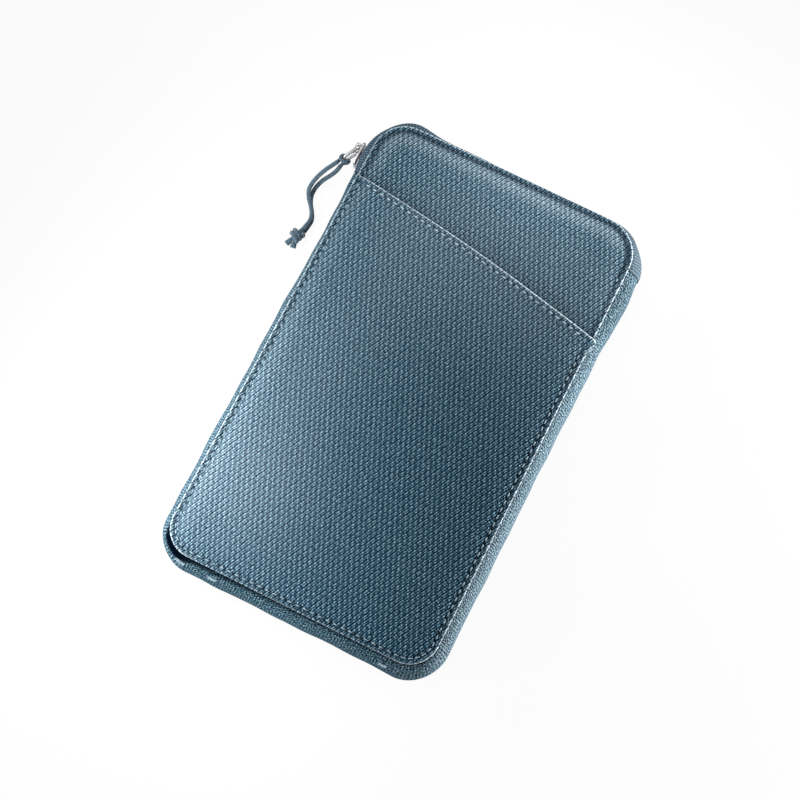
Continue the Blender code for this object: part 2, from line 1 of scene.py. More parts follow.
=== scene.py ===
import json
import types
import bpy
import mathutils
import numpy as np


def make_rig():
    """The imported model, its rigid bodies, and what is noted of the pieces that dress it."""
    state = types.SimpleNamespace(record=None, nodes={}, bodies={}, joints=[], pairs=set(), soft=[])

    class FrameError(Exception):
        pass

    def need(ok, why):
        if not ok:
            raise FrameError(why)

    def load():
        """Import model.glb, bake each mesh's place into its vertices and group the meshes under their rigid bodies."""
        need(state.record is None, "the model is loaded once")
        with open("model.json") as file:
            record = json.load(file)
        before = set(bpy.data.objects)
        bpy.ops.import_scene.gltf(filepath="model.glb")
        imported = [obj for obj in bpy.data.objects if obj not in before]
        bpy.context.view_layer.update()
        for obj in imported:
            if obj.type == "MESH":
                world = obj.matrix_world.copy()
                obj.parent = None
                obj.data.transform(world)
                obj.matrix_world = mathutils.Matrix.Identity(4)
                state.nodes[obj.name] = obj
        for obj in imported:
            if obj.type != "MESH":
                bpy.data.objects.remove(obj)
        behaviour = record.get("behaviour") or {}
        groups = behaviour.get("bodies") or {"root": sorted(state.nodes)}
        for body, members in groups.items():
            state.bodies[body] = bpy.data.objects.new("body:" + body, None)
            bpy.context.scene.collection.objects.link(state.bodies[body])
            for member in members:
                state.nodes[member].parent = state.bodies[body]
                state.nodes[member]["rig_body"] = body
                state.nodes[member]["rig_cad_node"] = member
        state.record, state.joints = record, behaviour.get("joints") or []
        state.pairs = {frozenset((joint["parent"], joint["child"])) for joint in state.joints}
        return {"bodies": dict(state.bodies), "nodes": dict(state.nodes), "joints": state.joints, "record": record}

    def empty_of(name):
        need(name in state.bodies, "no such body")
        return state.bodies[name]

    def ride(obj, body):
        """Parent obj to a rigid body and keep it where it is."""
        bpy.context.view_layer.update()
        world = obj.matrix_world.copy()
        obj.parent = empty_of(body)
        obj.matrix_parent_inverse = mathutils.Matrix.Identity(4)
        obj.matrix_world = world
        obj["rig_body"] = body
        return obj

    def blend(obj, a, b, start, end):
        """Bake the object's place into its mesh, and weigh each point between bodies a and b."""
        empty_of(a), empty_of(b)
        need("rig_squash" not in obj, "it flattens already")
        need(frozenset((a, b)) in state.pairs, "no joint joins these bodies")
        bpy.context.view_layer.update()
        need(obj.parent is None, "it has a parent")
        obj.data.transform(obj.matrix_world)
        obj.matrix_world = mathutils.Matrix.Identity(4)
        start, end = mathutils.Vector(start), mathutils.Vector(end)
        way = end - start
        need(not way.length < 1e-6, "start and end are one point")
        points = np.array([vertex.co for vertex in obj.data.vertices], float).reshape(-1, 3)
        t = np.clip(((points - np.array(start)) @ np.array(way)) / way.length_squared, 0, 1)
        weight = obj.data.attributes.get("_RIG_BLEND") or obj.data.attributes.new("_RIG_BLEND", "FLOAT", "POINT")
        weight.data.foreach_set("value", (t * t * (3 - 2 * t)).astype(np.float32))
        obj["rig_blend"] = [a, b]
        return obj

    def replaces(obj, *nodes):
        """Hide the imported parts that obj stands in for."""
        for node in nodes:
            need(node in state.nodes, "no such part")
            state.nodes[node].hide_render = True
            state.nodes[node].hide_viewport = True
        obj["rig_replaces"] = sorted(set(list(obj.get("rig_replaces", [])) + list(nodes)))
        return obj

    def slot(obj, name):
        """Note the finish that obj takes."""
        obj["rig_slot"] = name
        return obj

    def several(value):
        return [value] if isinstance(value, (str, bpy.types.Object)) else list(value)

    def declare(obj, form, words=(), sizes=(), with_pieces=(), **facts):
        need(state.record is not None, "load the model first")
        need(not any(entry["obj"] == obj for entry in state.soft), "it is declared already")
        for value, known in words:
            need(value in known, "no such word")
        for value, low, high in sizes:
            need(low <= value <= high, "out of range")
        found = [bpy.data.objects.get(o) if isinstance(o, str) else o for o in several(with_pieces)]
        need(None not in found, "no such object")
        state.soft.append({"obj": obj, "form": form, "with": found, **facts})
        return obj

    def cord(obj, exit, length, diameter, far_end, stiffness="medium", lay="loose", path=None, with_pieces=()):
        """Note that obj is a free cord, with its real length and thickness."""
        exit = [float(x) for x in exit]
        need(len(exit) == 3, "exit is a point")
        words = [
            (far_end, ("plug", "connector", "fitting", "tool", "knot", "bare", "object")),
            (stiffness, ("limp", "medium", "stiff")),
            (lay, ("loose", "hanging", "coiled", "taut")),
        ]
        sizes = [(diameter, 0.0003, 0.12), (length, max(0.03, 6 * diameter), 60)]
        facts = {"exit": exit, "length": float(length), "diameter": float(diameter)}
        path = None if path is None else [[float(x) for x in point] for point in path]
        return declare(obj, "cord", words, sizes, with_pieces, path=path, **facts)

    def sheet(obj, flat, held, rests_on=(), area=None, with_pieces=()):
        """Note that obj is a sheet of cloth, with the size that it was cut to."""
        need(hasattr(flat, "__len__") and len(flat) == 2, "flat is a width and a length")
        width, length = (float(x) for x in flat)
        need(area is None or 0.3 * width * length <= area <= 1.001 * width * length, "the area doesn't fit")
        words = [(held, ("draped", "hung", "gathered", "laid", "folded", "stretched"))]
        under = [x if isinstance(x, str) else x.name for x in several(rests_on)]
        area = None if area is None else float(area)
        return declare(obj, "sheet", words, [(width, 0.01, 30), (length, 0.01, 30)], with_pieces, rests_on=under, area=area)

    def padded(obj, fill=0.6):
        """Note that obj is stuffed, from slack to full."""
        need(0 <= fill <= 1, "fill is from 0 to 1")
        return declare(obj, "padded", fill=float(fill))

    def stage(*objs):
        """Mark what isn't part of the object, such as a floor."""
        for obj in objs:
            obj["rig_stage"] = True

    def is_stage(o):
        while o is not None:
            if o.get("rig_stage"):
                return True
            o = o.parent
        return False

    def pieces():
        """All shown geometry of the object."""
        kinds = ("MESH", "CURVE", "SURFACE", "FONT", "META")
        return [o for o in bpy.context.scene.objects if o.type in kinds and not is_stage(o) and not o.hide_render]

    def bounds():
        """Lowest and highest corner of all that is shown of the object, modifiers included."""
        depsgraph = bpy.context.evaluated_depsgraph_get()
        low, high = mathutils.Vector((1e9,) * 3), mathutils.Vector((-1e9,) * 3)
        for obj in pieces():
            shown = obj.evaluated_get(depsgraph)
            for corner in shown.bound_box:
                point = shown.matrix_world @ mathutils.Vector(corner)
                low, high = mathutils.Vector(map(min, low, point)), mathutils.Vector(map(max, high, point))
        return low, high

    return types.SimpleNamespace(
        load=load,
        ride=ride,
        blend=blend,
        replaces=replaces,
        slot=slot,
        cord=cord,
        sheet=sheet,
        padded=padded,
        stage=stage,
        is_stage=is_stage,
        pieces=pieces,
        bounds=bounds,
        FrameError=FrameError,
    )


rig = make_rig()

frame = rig.load()
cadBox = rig.bounds()

import json
import math

import bmesh
import bpy
from mathutils import Matrix, Vector, noise
from mathutils.bvhtree import BVHTree

mm = 0.001
weldDistance = 0.001 * mm
skyward = Vector((0, 0, 1))
scene = bpy.context.scene


def inMm(**lengths):
    # lengths given in millimetres, as a dictionary in metres
    return {name: length * mm for name, length in lengths.items()}


# Camera, at the photo's angle
cameraSettings = {
    **inMm(distance=944, target=Vector((-0.69, -3.5, 10.0))), "azimuth": 26.72, "elevation": 75.0,
    "lens": 110.0, "sensor": 36, "nearest": 0.05}


def makeCamera(settings):
    azimuth, elevation = math.radians(settings["azimuth"]), math.radians(settings["elevation"])
    level = math.cos(elevation)
    back = Vector((math.sin(azimuth) * level, -math.cos(azimuth) * level, math.sin(elevation)))
    data = bpy.data.cameras.new("camera")
    data.lens = settings["lens"]
    data.sensor_width = settings["sensor"]
    data.clip_start = settings["nearest"]
    camera = bpy.data.objects.new("camera", data)
    camera.location = settings["target"] + back * settings["distance"]
    camera.rotation_euler = back.to_track_quat("Z", "Y").to_euler()
    scene.collection.objects.link(camera)
    scene.camera = camera


makeCamera(cameraSettings)
print("camera placed")


# Materials. In their settings, stops are heights and the colours there
def newMaterial(name, colour, roughness, metallic=0.0):
    material = bpy.data.materials.new(name)
    material.use_nodes = True
    shader = material.node_tree.nodes["Principled BSDF"]
    shader.inputs["Base Color"].default_value = (*colour, 1)
    shader.inputs["Roughness"].default_value = roughness
    shader.inputs["Metallic"].default_value = metallic
    return material, material.node_tree, shader


def addNode(tree, kind, links=None, **settings):
    # a node with its settings, and its sockets linked or set
    node = tree.nodes.new(kind)
    for key, value in settings.items():
        setattr(node, key, value)
    for socket, source in (links or {}).items():
        if isinstance(source, bpy.types.NodeSocket):
            tree.links.new(source, node.inputs[socket])
        else:
            node.inputs[socket].default_value = source
    return node


def addMath(tree, operation, first, second=0.0, third=0.0):
    links = {0: first, 1: second, 2: third}
    return addNode(tree, "ShaderNodeMath", links, operation=operation).outputs[0]


def addVector(tree, operation, links):
    return addNode(tree, "ShaderNodeVectorMath", links, operation=operation).outputs[0]


def addNoise(tree, place, scale, detail=2.0):
    # noise about zero
    links = {"Vector": place, "Scale": scale, "Detail": detail}
    return addMath(tree, "SUBTRACT", addNode(tree, "ShaderNodeTexNoise", links).outputs["Fac"], 0.5)


def addRipple(tree, place, cyclesPerMm, phase=0.0):
    # cosine of a wave across the surface: cycles per millimetre along each axis, phase in degrees
    turns = [2 * math.pi * cycles / mm for cycles in cyclesPerMm]
    dot = addNode(tree, "ShaderNodeVectorMath", {0: place, 1: (*turns, 0)}, operation="DOT_PRODUCT")
    return addMath(tree, "COSINE", addMath(tree, "ADD", dot.outputs["Value"], math.radians(phase)))


def addSum(tree, start, terms):
    # start plus each term times its weight
    for value, weight in terms:
        start = addMath(tree, "MULTIPLY_ADD", value, weight, start)
    return start


def addRamp(tree, value, stops):
    node = addNode(tree, "ShaderNodeValToRGB", {"Fac": value})
    while len(node.color_ramp.elements) < len(stops):
        node.color_ramp.elements.new(0.5)
    for element, (place, colour) in zip(node.color_ramp.elements, stops):
        element.position = place
        element.color = (*colour, 1)
    return node.outputs["Color"]


def addMix(tree, share, first, second):
    return addNode(tree, "ShaderNodeMix", {0: share, 6: first, 7: second}, data_type="RGBA").outputs[2]


def addMark(tree, name):
    return addNode(tree, "ShaderNodeAttribute", attribute_name=name).outputs["Fac"]


def finishShader(tree, shader, colour, height, settings):
    # links the colour, and sets the sheen and the bump where the settings have them
    tree.links.new(colour, shader.inputs["Base Color"])
    shader.inputs["Sheen Weight"].default_value = settings.get("sheen", 0.0)
    if "bump" in settings:
        bump = addNode(tree, "ShaderNodeBump", {"Height": height, "Distance": settings["bump"]})
        tree.links.new(bump.outputs["Normal"], shader.inputs["Normal"])


def surfacePlace(tree, coordinates):
    return addNode(tree, "ShaderNodeTexCoord").outputs[coordinates]


# how the painted highlight spreads over the yarns
rub = {"gain": 1.2, "least": 0.4}


def addWear(tree, colour, height, edge):
    # painted highlight, strongest on the yarns that stand up
    standing = addMath(tree, "MULTIPLY_ADD", height, rub["gain"], rub["least"])
    return addMix(tree, addMath(tree, "MULTIPLY", addMark(tree, "worn"), standing), colour, (*edge, 1))


# Two-tone twill: a lattice of yarns, warp and weft in cycles per millimetre. Each ripple is its steps along
# warp and weft, its strength and its phase in degrees. The pale edge colour is painted highlight, and the
# dark colour after it painted shade
twill = {
    **inMm(sway=0.8, bump=0.26), "warp": (0.466, 0.212), "weft": (0.490, -0.254),
    "ripples": ((1, 0, 0.20, 0), (0, 1, 0.22, 0), (0, 2, 0.40, 144), (2, 0, 0.08, 0), (-1, 2, 0.055, 165),
                (2, -1, 0.12, -162), (3, -2, 0.09, -165), (-1, 1, 0.04, 0)),
    "swayScale": 320.0, "slub": 0.7, "slubScale": 2000.0, "slubDraw": 0.35, "fuzz": 1.7, "fuzzScale": 1500.0,
    "gain": 0.60, "lift": 0.20,
    "stops": ((0.15, (0.001, 0.010, 0.026)), (0.48, (0.010, 0.046, 0.084)), (0.72, (0.070, 0.160, 0.218)),
              (0.98, (0.32, 0.47, 0.55))),
    "edge": (0.58, 0.70, 0.77), "hollow": (0.001, 0.008, 0.018), "roughness": 0.85,
    "sheen": 0.08, "gloss": 0.03}
# the wall's strip is cut another way; its weave is finer, paler and fuzzier
wallTwill = dict(
    twill, warp=(0.35, 1.15), weft=(0.90, 0.10), fuzz=3.4, sheen=0.0, gloss=0.0,
    hollow=(0.0006, 0.003, 0.007), ripples=((1, 0, 0.22, 0), (0, 1, 0.22, 0), (1, 1, 0.15, 90)),
    stops=((0.15, (0.004, 0.020, 0.036)), (0.48, (0.04, 0.10, 0.145)), (0.72, (0.15, 0.27, 0.34)),
           (0.98, (0.40, 0.54, 0.62))))


def makeTwill(name, settings):
    material, tree, shader = newMaterial(name, settings["stops"][1][1], settings["roughness"])
    place = surfacePlace(tree, "UV")
    wander = {"Vector": place, "Scale": settings["swayScale"], "Detail": 2.0}
    wander = addNode(tree, "ShaderNodeTexNoise", wander).outputs["Color"]
    sway = addVector(tree, "SUBTRACT", {0: wander, 1: (0.5, 0.5, 0.5)})
    sway = addVector(tree, "SCALE", {0: sway, "Scale": settings["sway"]})
    bent = addVector(tree, "ADD", {0: place, 1: sway})
    warp, weft = settings["warp"], settings["weft"]
    turned = {"Vector": place, "Rotation": (0, 0, -math.atan2(weft[1], weft[0]))}
    turned = addNode(tree, "ShaderNodeMapping", turned).outputs[0]
    drawn = {"Vector": turned, "Scale": (1.0, settings["slubDraw"], 1.0)}
    drawn = addNode(tree, "ShaderNodeMapping", drawn).outputs[0]
    terms = []
    for along, across, strength, phase in settings["ripples"]:
        cycles = [along * first + across * second for first, second in zip(warp, weft)]
        terms.append((addRipple(tree, bent, cycles, phase), strength))
    terms.append((addNoise(tree, drawn, settings["slubScale"], 1.0), settings["slub"]))
    terms.append((addNoise(tree, place, settings["fuzzScale"]), settings["fuzz"]))
    height = addSum(tree, 0.5, terms)
    tone = addMath(tree, "MULTIPLY_ADD", height, settings["gain"], settings["lift"])
    # painted highlight where the mesh carries painted light
    colour = addWear(tree, addRamp(tree, tone, settings["stops"]), height, settings["edge"])
    # painted shade where the mesh carries it, in the dark colour
    colour = addMix(tree, addMark(tree, "sunk"), colour, (*settings["hollow"], 1))
    shader.inputs["Specular IOR Level"].default_value = settings["gloss"]
    finishShader(tree, shader, colour, height, settings)
    return material


# Plain weaves: each ripple is its strength and the waves, in cycles per millimetre, multiplied together. The
# tape has close ribs across its length, the lining is thin and even, the cord has two crossing sets of plaits
tape = {
    "ripples": ((0.3, (0.92, 0.0)), (0.15, (0.46, 1.3))), "fuzz": 0.5, "fuzzScale": 2200.0, "fuzzDetail": 1.0,
    "stops": ((0.1, (0.002, 0.010, 0.022)), (0.5, (0.013, 0.040, 0.066)), (0.95, (0.09, 0.16, 0.21))),
    # the edge colour is painted light, mixed in where the strips carry painted light
    "edge": (0.46, 0.60, 0.68), "roughness": 0.8, "bump": 0.3 * mm}
lining = {
    "ripples": ((0.35, (2.2, 0.0), (0.0, 2.2)),), "fuzz": 0.4, "fuzzScale": 700.0, "fuzzDetail": 2.0,
    "stops": ((0.1, (0.012, 0.024, 0.036)), (0.9, (0.040, 0.070, 0.095))),
    "roughness": 0.65, "bump": 0.1 * mm}
braid = {
    "ripples": ((0.45, (0.75, 1.06), (0.75, -1.06)),), "fuzz": 0.4, "fuzzScale": 2600.0, "fuzzDetail": 1.0,
    "stops": ((0.1, (0.002, 0.012, 0.028)), (0.5, (0.018, 0.060, 0.098)), (0.95, (0.15, 0.26, 0.33))),
    "roughness": 0.8, "sheen": 0.3, "bump": 0.3 * mm}


def makeWeave(name, settings):
    material, tree, shader = newMaterial(name, settings["stops"][1][1], settings["roughness"])
    place = surfacePlace(tree, "UV")
    terms = []
    for strength, first, *others in settings["ripples"]:
        wave = addRipple(tree, place, first)
        for other in others:
            wave = addMath(tree, "MULTIPLY", wave, addRipple(tree, place, other))
        terms.append((wave, strength))
    terms.append((addNoise(tree, place, settings["fuzzScale"], settings["fuzzDetail"]), settings["fuzz"]))
    height = addSum(tree, 0.5, terms)
    colour = addRamp(tree, height, settings["stops"])
    if "edge" in settings:
        colour = addWear(tree, colour, height, settings["edge"])
    finishShader(tree, shader, colour, height, settings)
    return material


foam = {
    "cells": 1800.0, "stops": ((0.0, (0.36, 0.36, 0.35)), (0.6, (0.62, 0.62, 0.60))), "roughness": 0.95,
    "bump": 0.2 * mm}


def makeFoam(name):
    material, tree, shader = newMaterial(name, foam["stops"][1][1], foam["roughness"])
    links = {"Vector": surfacePlace(tree, "UV"), "Scale": foam["cells"]}
    cells = addNode(tree, "ShaderNodeTexVoronoi", links).outputs["Distance"]
    finishShader(tree, shader, addRamp(tree, cells, foam["stops"]), cells, foam)
    return material


# Clouded materials; shine is the roughness from cloud to cloud
metal = {
    "cloud": 260.0, "detail": 2.0, "stops": ((0.3, (0.52, 0.52, 0.53)), (0.75, (0.26, 0.26, 0.27))),
    "roughness": 0.22, "metallic": 1.0, "shine": ((0.3, (0.22,) * 3), (0.7, (0.38,) * 3))}
nylon = {
    "cloud": 900.0, "detail": 2.0, "stops": ((0.3, (0.014, 0.030, 0.045)), (0.7, (0.03, 0.055, 0.08))),
    "roughness": 0.4, "metallic": 0.0}
thread = {
    "cloud": 1800.0, "detail": 1.0, "stops": ((0.3, (0.10, 0.18, 0.24)), (0.7, (0.34, 0.45, 0.52))),
    "roughness": 0.6, "metallic": 0.0, "bump": 0.1 * mm}
# the hem's thread is paler
hemThread = dict(thread, stops=((0.3, (0.20, 0.30, 0.37)), (0.7, (0.54, 0.64, 0.70))))


def makeClouded(name, settings):
    brightest = max(colour for _, colour in settings["stops"])
    material, tree, shader = newMaterial(name, brightest, settings["roughness"], settings["metallic"])
    place = surfacePlace(tree, "Object")
    cloud = addMath(tree, "ADD", addNoise(tree, place, settings["cloud"], settings["detail"]), 0.5)
    if "shine" in settings:
        tree.links.new(addRamp(tree, cloud, settings["shine"]), shader.inputs["Roughness"])
    finishShader(tree, shader, addRamp(tree, cloud, settings["stops"]), cloud, settings)
    return material


twillFlat = makeTwill("twillFlat", twill)
twillWall = makeTwill("twillWall", wallTwill)
tapeWeave = makeWeave("tapeWeave", tape)
liningWeave = makeWeave("liningWeave", lining)
foamCells = makeFoam("foamCells")
satinMetal = makeClouded("satinMetal", metal)
darkNylon = makeClouded("darkNylon", nylon)
cordBraid = makeWeave("cordBraid", braid)
sewingThread = makeClouded("sewingThread", thread)
paleThread = makeClouded("paleThread", hemThread)
print("materials ready")


# Building helpers
def smoothStep(low, high, value):
    share = min(max((value - low) / (high - low), 0.0), 1.0)
    return share * share * (3 - 2 * share)


def bell(value, centre, width):
    return math.exp(-((value - centre) / width) ** 2)


def heading(angle):
    return Vector((math.cos(angle), math.sin(angle)))


def evenSteps(start, end, step):
    count = max(1, math.ceil(abs(end - start) / step - 1e-6))
    return [start + (end - start) * index / count for index in range(count + 1)]


def finishMesh(name, mesh, material):
    data = bpy.data.meshes.new(name)
    mesh.to_mesh(data)
    mesh.free()
    data.materials.append(material)
    data.shade_smooth()
    piece = bpy.data.objects.new(name, data)
    scene.collection.objects.link(piece)
    return piece


def gridMesh(across, along, place, closed=False):
    # a grid whose points go to place(a, b), with a and b as its UV map; closed welds its two long edges
    mesh = bmesh.new()
    layer = mesh.loops.layers.uv.new("UVMap")
    bmesh.ops.create_grid(mesh, x_segments=len(across) - 1, y_segments=len(along) - 1, size=0.5)
    cell = {}
    for vertex in mesh.verts:
        cell[vertex] = (across[round((vertex.co.x + 0.5) * (len(across) - 1))],
                        along[round((vertex.co.y + 0.5) * (len(along) - 1))])
    for face in mesh.faces:
        for loop in face.loops:
            loop[layer].uv = cell[loop.vert]
    for vertex, (a, b) in cell.items():
        vertex.co = place(a, b)
    if closed:
        bmesh.ops.remove_doubles(mesh, verts=mesh.verts, dist=weldDistance)
    return mesh


def mapFlat(mesh):
    # lays the UV map over the sheet as it lies, so that its weave bends with it
    layer = mesh.loops.layers.uv["UVMap"]
    for face in mesh.faces:
        for loop in face.loops:
            loop[layer].uv = loop.vert.co.xy


# Outline of the panels, clockwise from the lower end of the left side
outline = inMm(halfWidth=56, top=97.2, bottom=96, topLeft=13.5, topRight=15, corner=12)


def outlineCorners():
    # centre, radius and first heading of each corner
    wide, top, bottom = outline["halfWidth"], outline["top"], outline["bottom"]
    topLeft, topRight, corner = outline["topLeft"], outline["topRight"], outline["corner"]
    return [(Vector((topLeft - wide, top - topLeft)), topLeft, math.pi),
            (Vector((wide - topRight, top - topRight)), topRight, math.pi / 2),
            (Vector((wide - corner, corner - bottom)), corner, 0.0),
            (Vector((corner - wide, corner - bottom)), corner, -math.pi / 2)]


corners = outlineCorners()


def outlineLegs():
    # sides and corners in turn: start along the outline, length, start or centre, direction or turn, radius
    parts, reached = [], 0.0
    for index, (centre, radius, turn) in enumerate(corners):
        before, beforeRadius, beforeTurn = corners[index - 1]
        start = before + heading(beforeTurn - math.pi / 2) * beforeRadius
        end = centre + heading(turn) * radius
        parts.append((reached, (end - start).length, start, (end - start).normalized(), None))
        reached += (end - start).length
        parts.append((reached, radius * math.pi / 2, centre, turn, radius))
        reached += radius * math.pi / 2
    return parts, reached


legs, edgeLength = outlineLegs()


def edgeAt(travel):
    # point and outward normal at a distance along the outline
    travel %= edgeLength
    begin, _, place, turn, radius = next(leg for leg in reversed(legs) if leg[0] <= travel)
    if radius is None:
        return place + turn * (travel - begin), Vector((-turn.y, turn.x))
    normal = heading(turn - (travel - begin) / radius)
    return place + normal * radius, normal


def edgeOf(x, y):
    # how far inside the outline a point lies, and how far along the outline its nearest place is
    for index, (centre, radius, turn) in enumerate(corners):
        away = Vector((x, y)) - centre
        side = heading(turn) + heading(turn - math.pi / 2)
        if away.x * side.x > 0 and away.y * side.y > 0:
            angle = (turn - math.atan2(away.y, away.x)) % (2 * math.pi)
            return radius - away.length, legs[2 * index + 1][0] + min(angle, math.pi / 2) * radius
    gaps = [x + outline["halfWidth"], outline["top"] - y, outline["halfWidth"] - x, y + outline["bottom"]]
    side = gaps.index(min(gaps))
    begin, _, place, along, _ = legs[2 * side]
    return gaps[side], begin + (Vector((x, y)) - place).dot(along)


def roundedPlace(x, y):
    # sends a point of the square-cornered panel into its rounded corner
    for centre, radius, turn in corners:
        side = heading(turn) + heading(turn - math.pi / 2)
        across, up = (x - centre.x) * side.x / radius, (y - centre.y) * side.y / radius
        if across > 0 and up > 0:
            spread = across * math.sqrt(1 - min(up, 1.0) ** 2 / 2)
            rise = up * math.sqrt(1 - min(across, 1.0) ** 2 / 2)
            return centre.x + spread * radius * side.x, centre.y + rise * radius * side.y
    return x, y


def edgeStops(*stops):
    # stops given as leg, share of the leg and value, as places along the outline
    return [(legs[leg][0] + legs[leg][1] * share, value) for leg, share, value in stops]


def alongEdge(stops, travel):
    # a value that eases from stop to stop round the outline
    travel %= edgeLength
    for (start, first), (end, second) in zip(stops, stops[1:]):
        if start <= travel <= end:
            return first + (second - first) * smoothStep(start, end, travel)
    return stops[-1][1]


# The front's stitched edge. Legs 0, 2, 4 and 6 are the left, top, right and bottom sides, 1, 3, 5 and 7 the
# corners after them. Wear is the painted highlight on the folded edge, sewn how deep the stitches draw
# the cloth in, shade the painted shade in the valley between them, crest the painted highlight on the cloth
# inside it; swells and bloom are soft spots, the bloom painted pools of light
front = {
    **inMm(edgeHeight=17.05, pocketHeight=18.25, puff=1.2, puffReach=3.4, swellFrom=2, swellFull=14,
           lipRadius=0.5, stitchInset=2.2, stitchDip=0.8, dipWidth=1.1, stitchPitch=3.2, pitDepth=0.3,
           pucker=0.14, puckerReach=2.4, puckerFrom=1, puckerFull=3, holeWidth=0.75, wearWidth=0.36,
           crestInset=5.5, crestWidth=3.0, driftSize=17, rollEnd=0.65, fine=0.4, coarse=0.6, margin=4.5,
           seenFrom=42),
    "roll": (0.0, 0.08, 0.22, 0.42), "hiddenStep": 6, "wearGain": 1.5, "drift": 0.2, "driftSeed": 0.3,
    "wear": edgeStops(
        (0, 0.0, 0.7), (0, 1.0, 0.5), (1, 0.6, 0.75), (2, 0.3, 0.7), (2, 0.45, 0.1), (2, 0.9, 0.1),
        (3, 0.4, 0.9), (4, 0.1, 0.7), (4, 1.0, 0.8), (5, 0.6, 0.4), (6, 0.1, 0.15), (6, 0.9, 0.15),
        (7, 0.5, 0.5), (7, 1.0, 0.7)),
    "sewn": edgeStops(
        (0, 0.0, 0.8), (0, 0.85, 0.8), (3, 0.9, 0.7), (4, 0.1, 0.2), (4, 0.18, 0.2), (4, 0.26, 0.45),
        (5, 0.5, 0.5), (6, 0.2, 0.9), (6, 0.9, 0.9), (7, 1.0, 0.85)),
    "shade": edgeStops(
        (0, 0.0, 0.12), (0, 0.85, 0.12), (1, 0.1, 0.65), (3, 0.9, 0.6), (4, 0.1, 0.12), (7, 1.0, 0.12)),
    "crest": edgeStops(
        (0, 0.0, 0.04), (0, 0.9, 0.04), (1, 0.4, 0.12), (2, 0.5, 0.14), (3, 0.3, 0.14), (3, 0.9, 0.03),
        (4, 0.2, 0.0), (6, 1.0, 0.0), (7, 1.0, 0.04)),
    "swells": ((-22, 34, 22, 0.5), (-22, -8, 18, -0.5), (-22, -58, 24, 0.7), (30, 4, 14, 0.8),
               (26, -36, 20, -0.7), (34, 40, 20, 0.3)),
    "bloom": ((-42, -62, 34, 0.125), (-45, -5, 34, 0.07), (0, 75, 45, 0.06), (45, 60, 35, 0.05),
              (-25, 50, 30, 0.04))}
fold = inMm(left=70.5, right=81.5, height=18.95, ease=2, tapeEase=8)
# The slip pocket's slanted hem, and how the panel lies beside and under it
# wear is painted highlight on the hem's fold and lap, shade is painted shadow just above the hem
hem = {
    **inMm(left=69.5, right=50.0, bow=1.2, stitchInset=2.3, seamDip=0.35, pitDepth=0.25, seamWidth=0.6,
           holeWidth=0.5, lift=0.3, liftFrom=2.8, liftEnd=5, lip=0.6, rowMargin=5, dip=0.8, dipReach=9,
           dipFrom=1, dipFull=6, shadeWidth=1.1, setBack=0.7, setBackReach=4, cover=4, coverDrop=0.25,
           wearInset=0.1, wearFrom=-40, wearFull=30, lap=1.5, lapDrop=2.4, lapReach=4.2, lapWidth=2.5,
           lapWearWidth=1),
    "wear": 1.7, "wearLeft": 0.55, "wearRise": 0.45, "lapWear": 0.25, "shade": 0.6}


# The padding's pillow: cloth held along its row of stitches and blown up from below
pillow = {
    **inMm(cell=3.2, crown=1.0), "pressure": 4.0, "frames": 20, "quality": 6, "slack": 0.015, "tension": 15.0,
    "bending": 1.0, "smooth": 2}


def blowPillow():
    inset = front["stitchInset"]
    wide, top, bottom = (outline[side] - inset for side in ("halfWidth", "top", "bottom"))

    def place(x, y):
        return Vector((*roundedPlace(x, y), 0.0))

    mesh = gridMesh(evenSteps(-wide, wide, pillow["cell"]), evenSteps(-bottom, top, pillow["cell"]), place)
    mesh.verts.index_update()
    held = [vertex.index for vertex in mesh.verts if vertex.is_boundary]
    guide = finishMesh("pillowGuide", mesh, foamCells)
    guide.vertex_groups.new(name="held").add(held, 1.0, "ADD")
    cloth = guide.modifiers.new("blown", "CLOTH")
    cloth.settings.vertex_group_mass = "held"
    cloth.settings.quality = pillow["quality"]
    cloth.settings.tension_stiffness = pillow["tension"]
    cloth.settings.compression_stiffness = pillow["tension"]
    cloth.settings.bending_stiffness = pillow["bending"]
    cloth.settings.shrink_min = -pillow["slack"]
    cloth.settings.use_pressure = True
    cloth.settings.uniform_pressure_force = pillow["pressure"]
    cloth.settings.effector_weights.gravity = 0
    cloth.point_cache.frame_end = pillow["frames"]
    smooth = guide.modifiers.new("smooth", "SUBSURF")
    smooth.levels = pillow["smooth"]
    smooth.render_levels = pillow["smooth"]
    for moment in range(1, pillow["frames"] + 1):
        scene.frame_set(moment)
    blown = guide.evaluated_get(bpy.context.evaluated_depsgraph_get())
    highest = max(vertex.co.z for vertex in blown.data.vertices)
    surface = BVHTree.FromObject(guide, bpy.context.evaluated_depsgraph_get())
    bpy.data.objects.remove(guide)
    scene.frame_set(1)
    return surface, highest


pillowSurface, pillowTop = blowPillow()
print("pillow blown to", round(pillowTop / mm, 2), "mm")


def pillowRise(x, y):
    # height of the blown cloth, brought to the padding's crown
    spot = pillowSurface.ray_cast(Vector((x, y, 1.0)), -skyward)[0]
    return spot.z * pillow["crown"] / pillowTop if spot else 0.0


def edgeSteps(length):
    # distances along a side: close on the rolled lip, fine near both ends, coarse between
    margin = front["margin"]
    start = [step * mm for step in front["roll"]] + evenSteps(front["rollEnd"], margin, front["fine"])
    middle = evenSteps(margin, length - margin, front["coarse"])[1:-1]
    return start + middle + [length - step for step in reversed(start)]


def hemHeight(x):
    share = (x + outline["halfWidth"]) / (2 * outline["halfWidth"])
    return hem["left"] + (hem["right"] - hem["left"]) * share + hem["bow"] * math.sin(math.pi * share) ** 2


def softSpots(x, y, spots):
    # sum of soft round spots, each its place and radius in millimetres and its strength
    return sum(strength * bell(math.hypot(x / mm - placeX, y / mm - placeY), 0.0, radius)
               for placeX, placeY, radius, strength in spots)


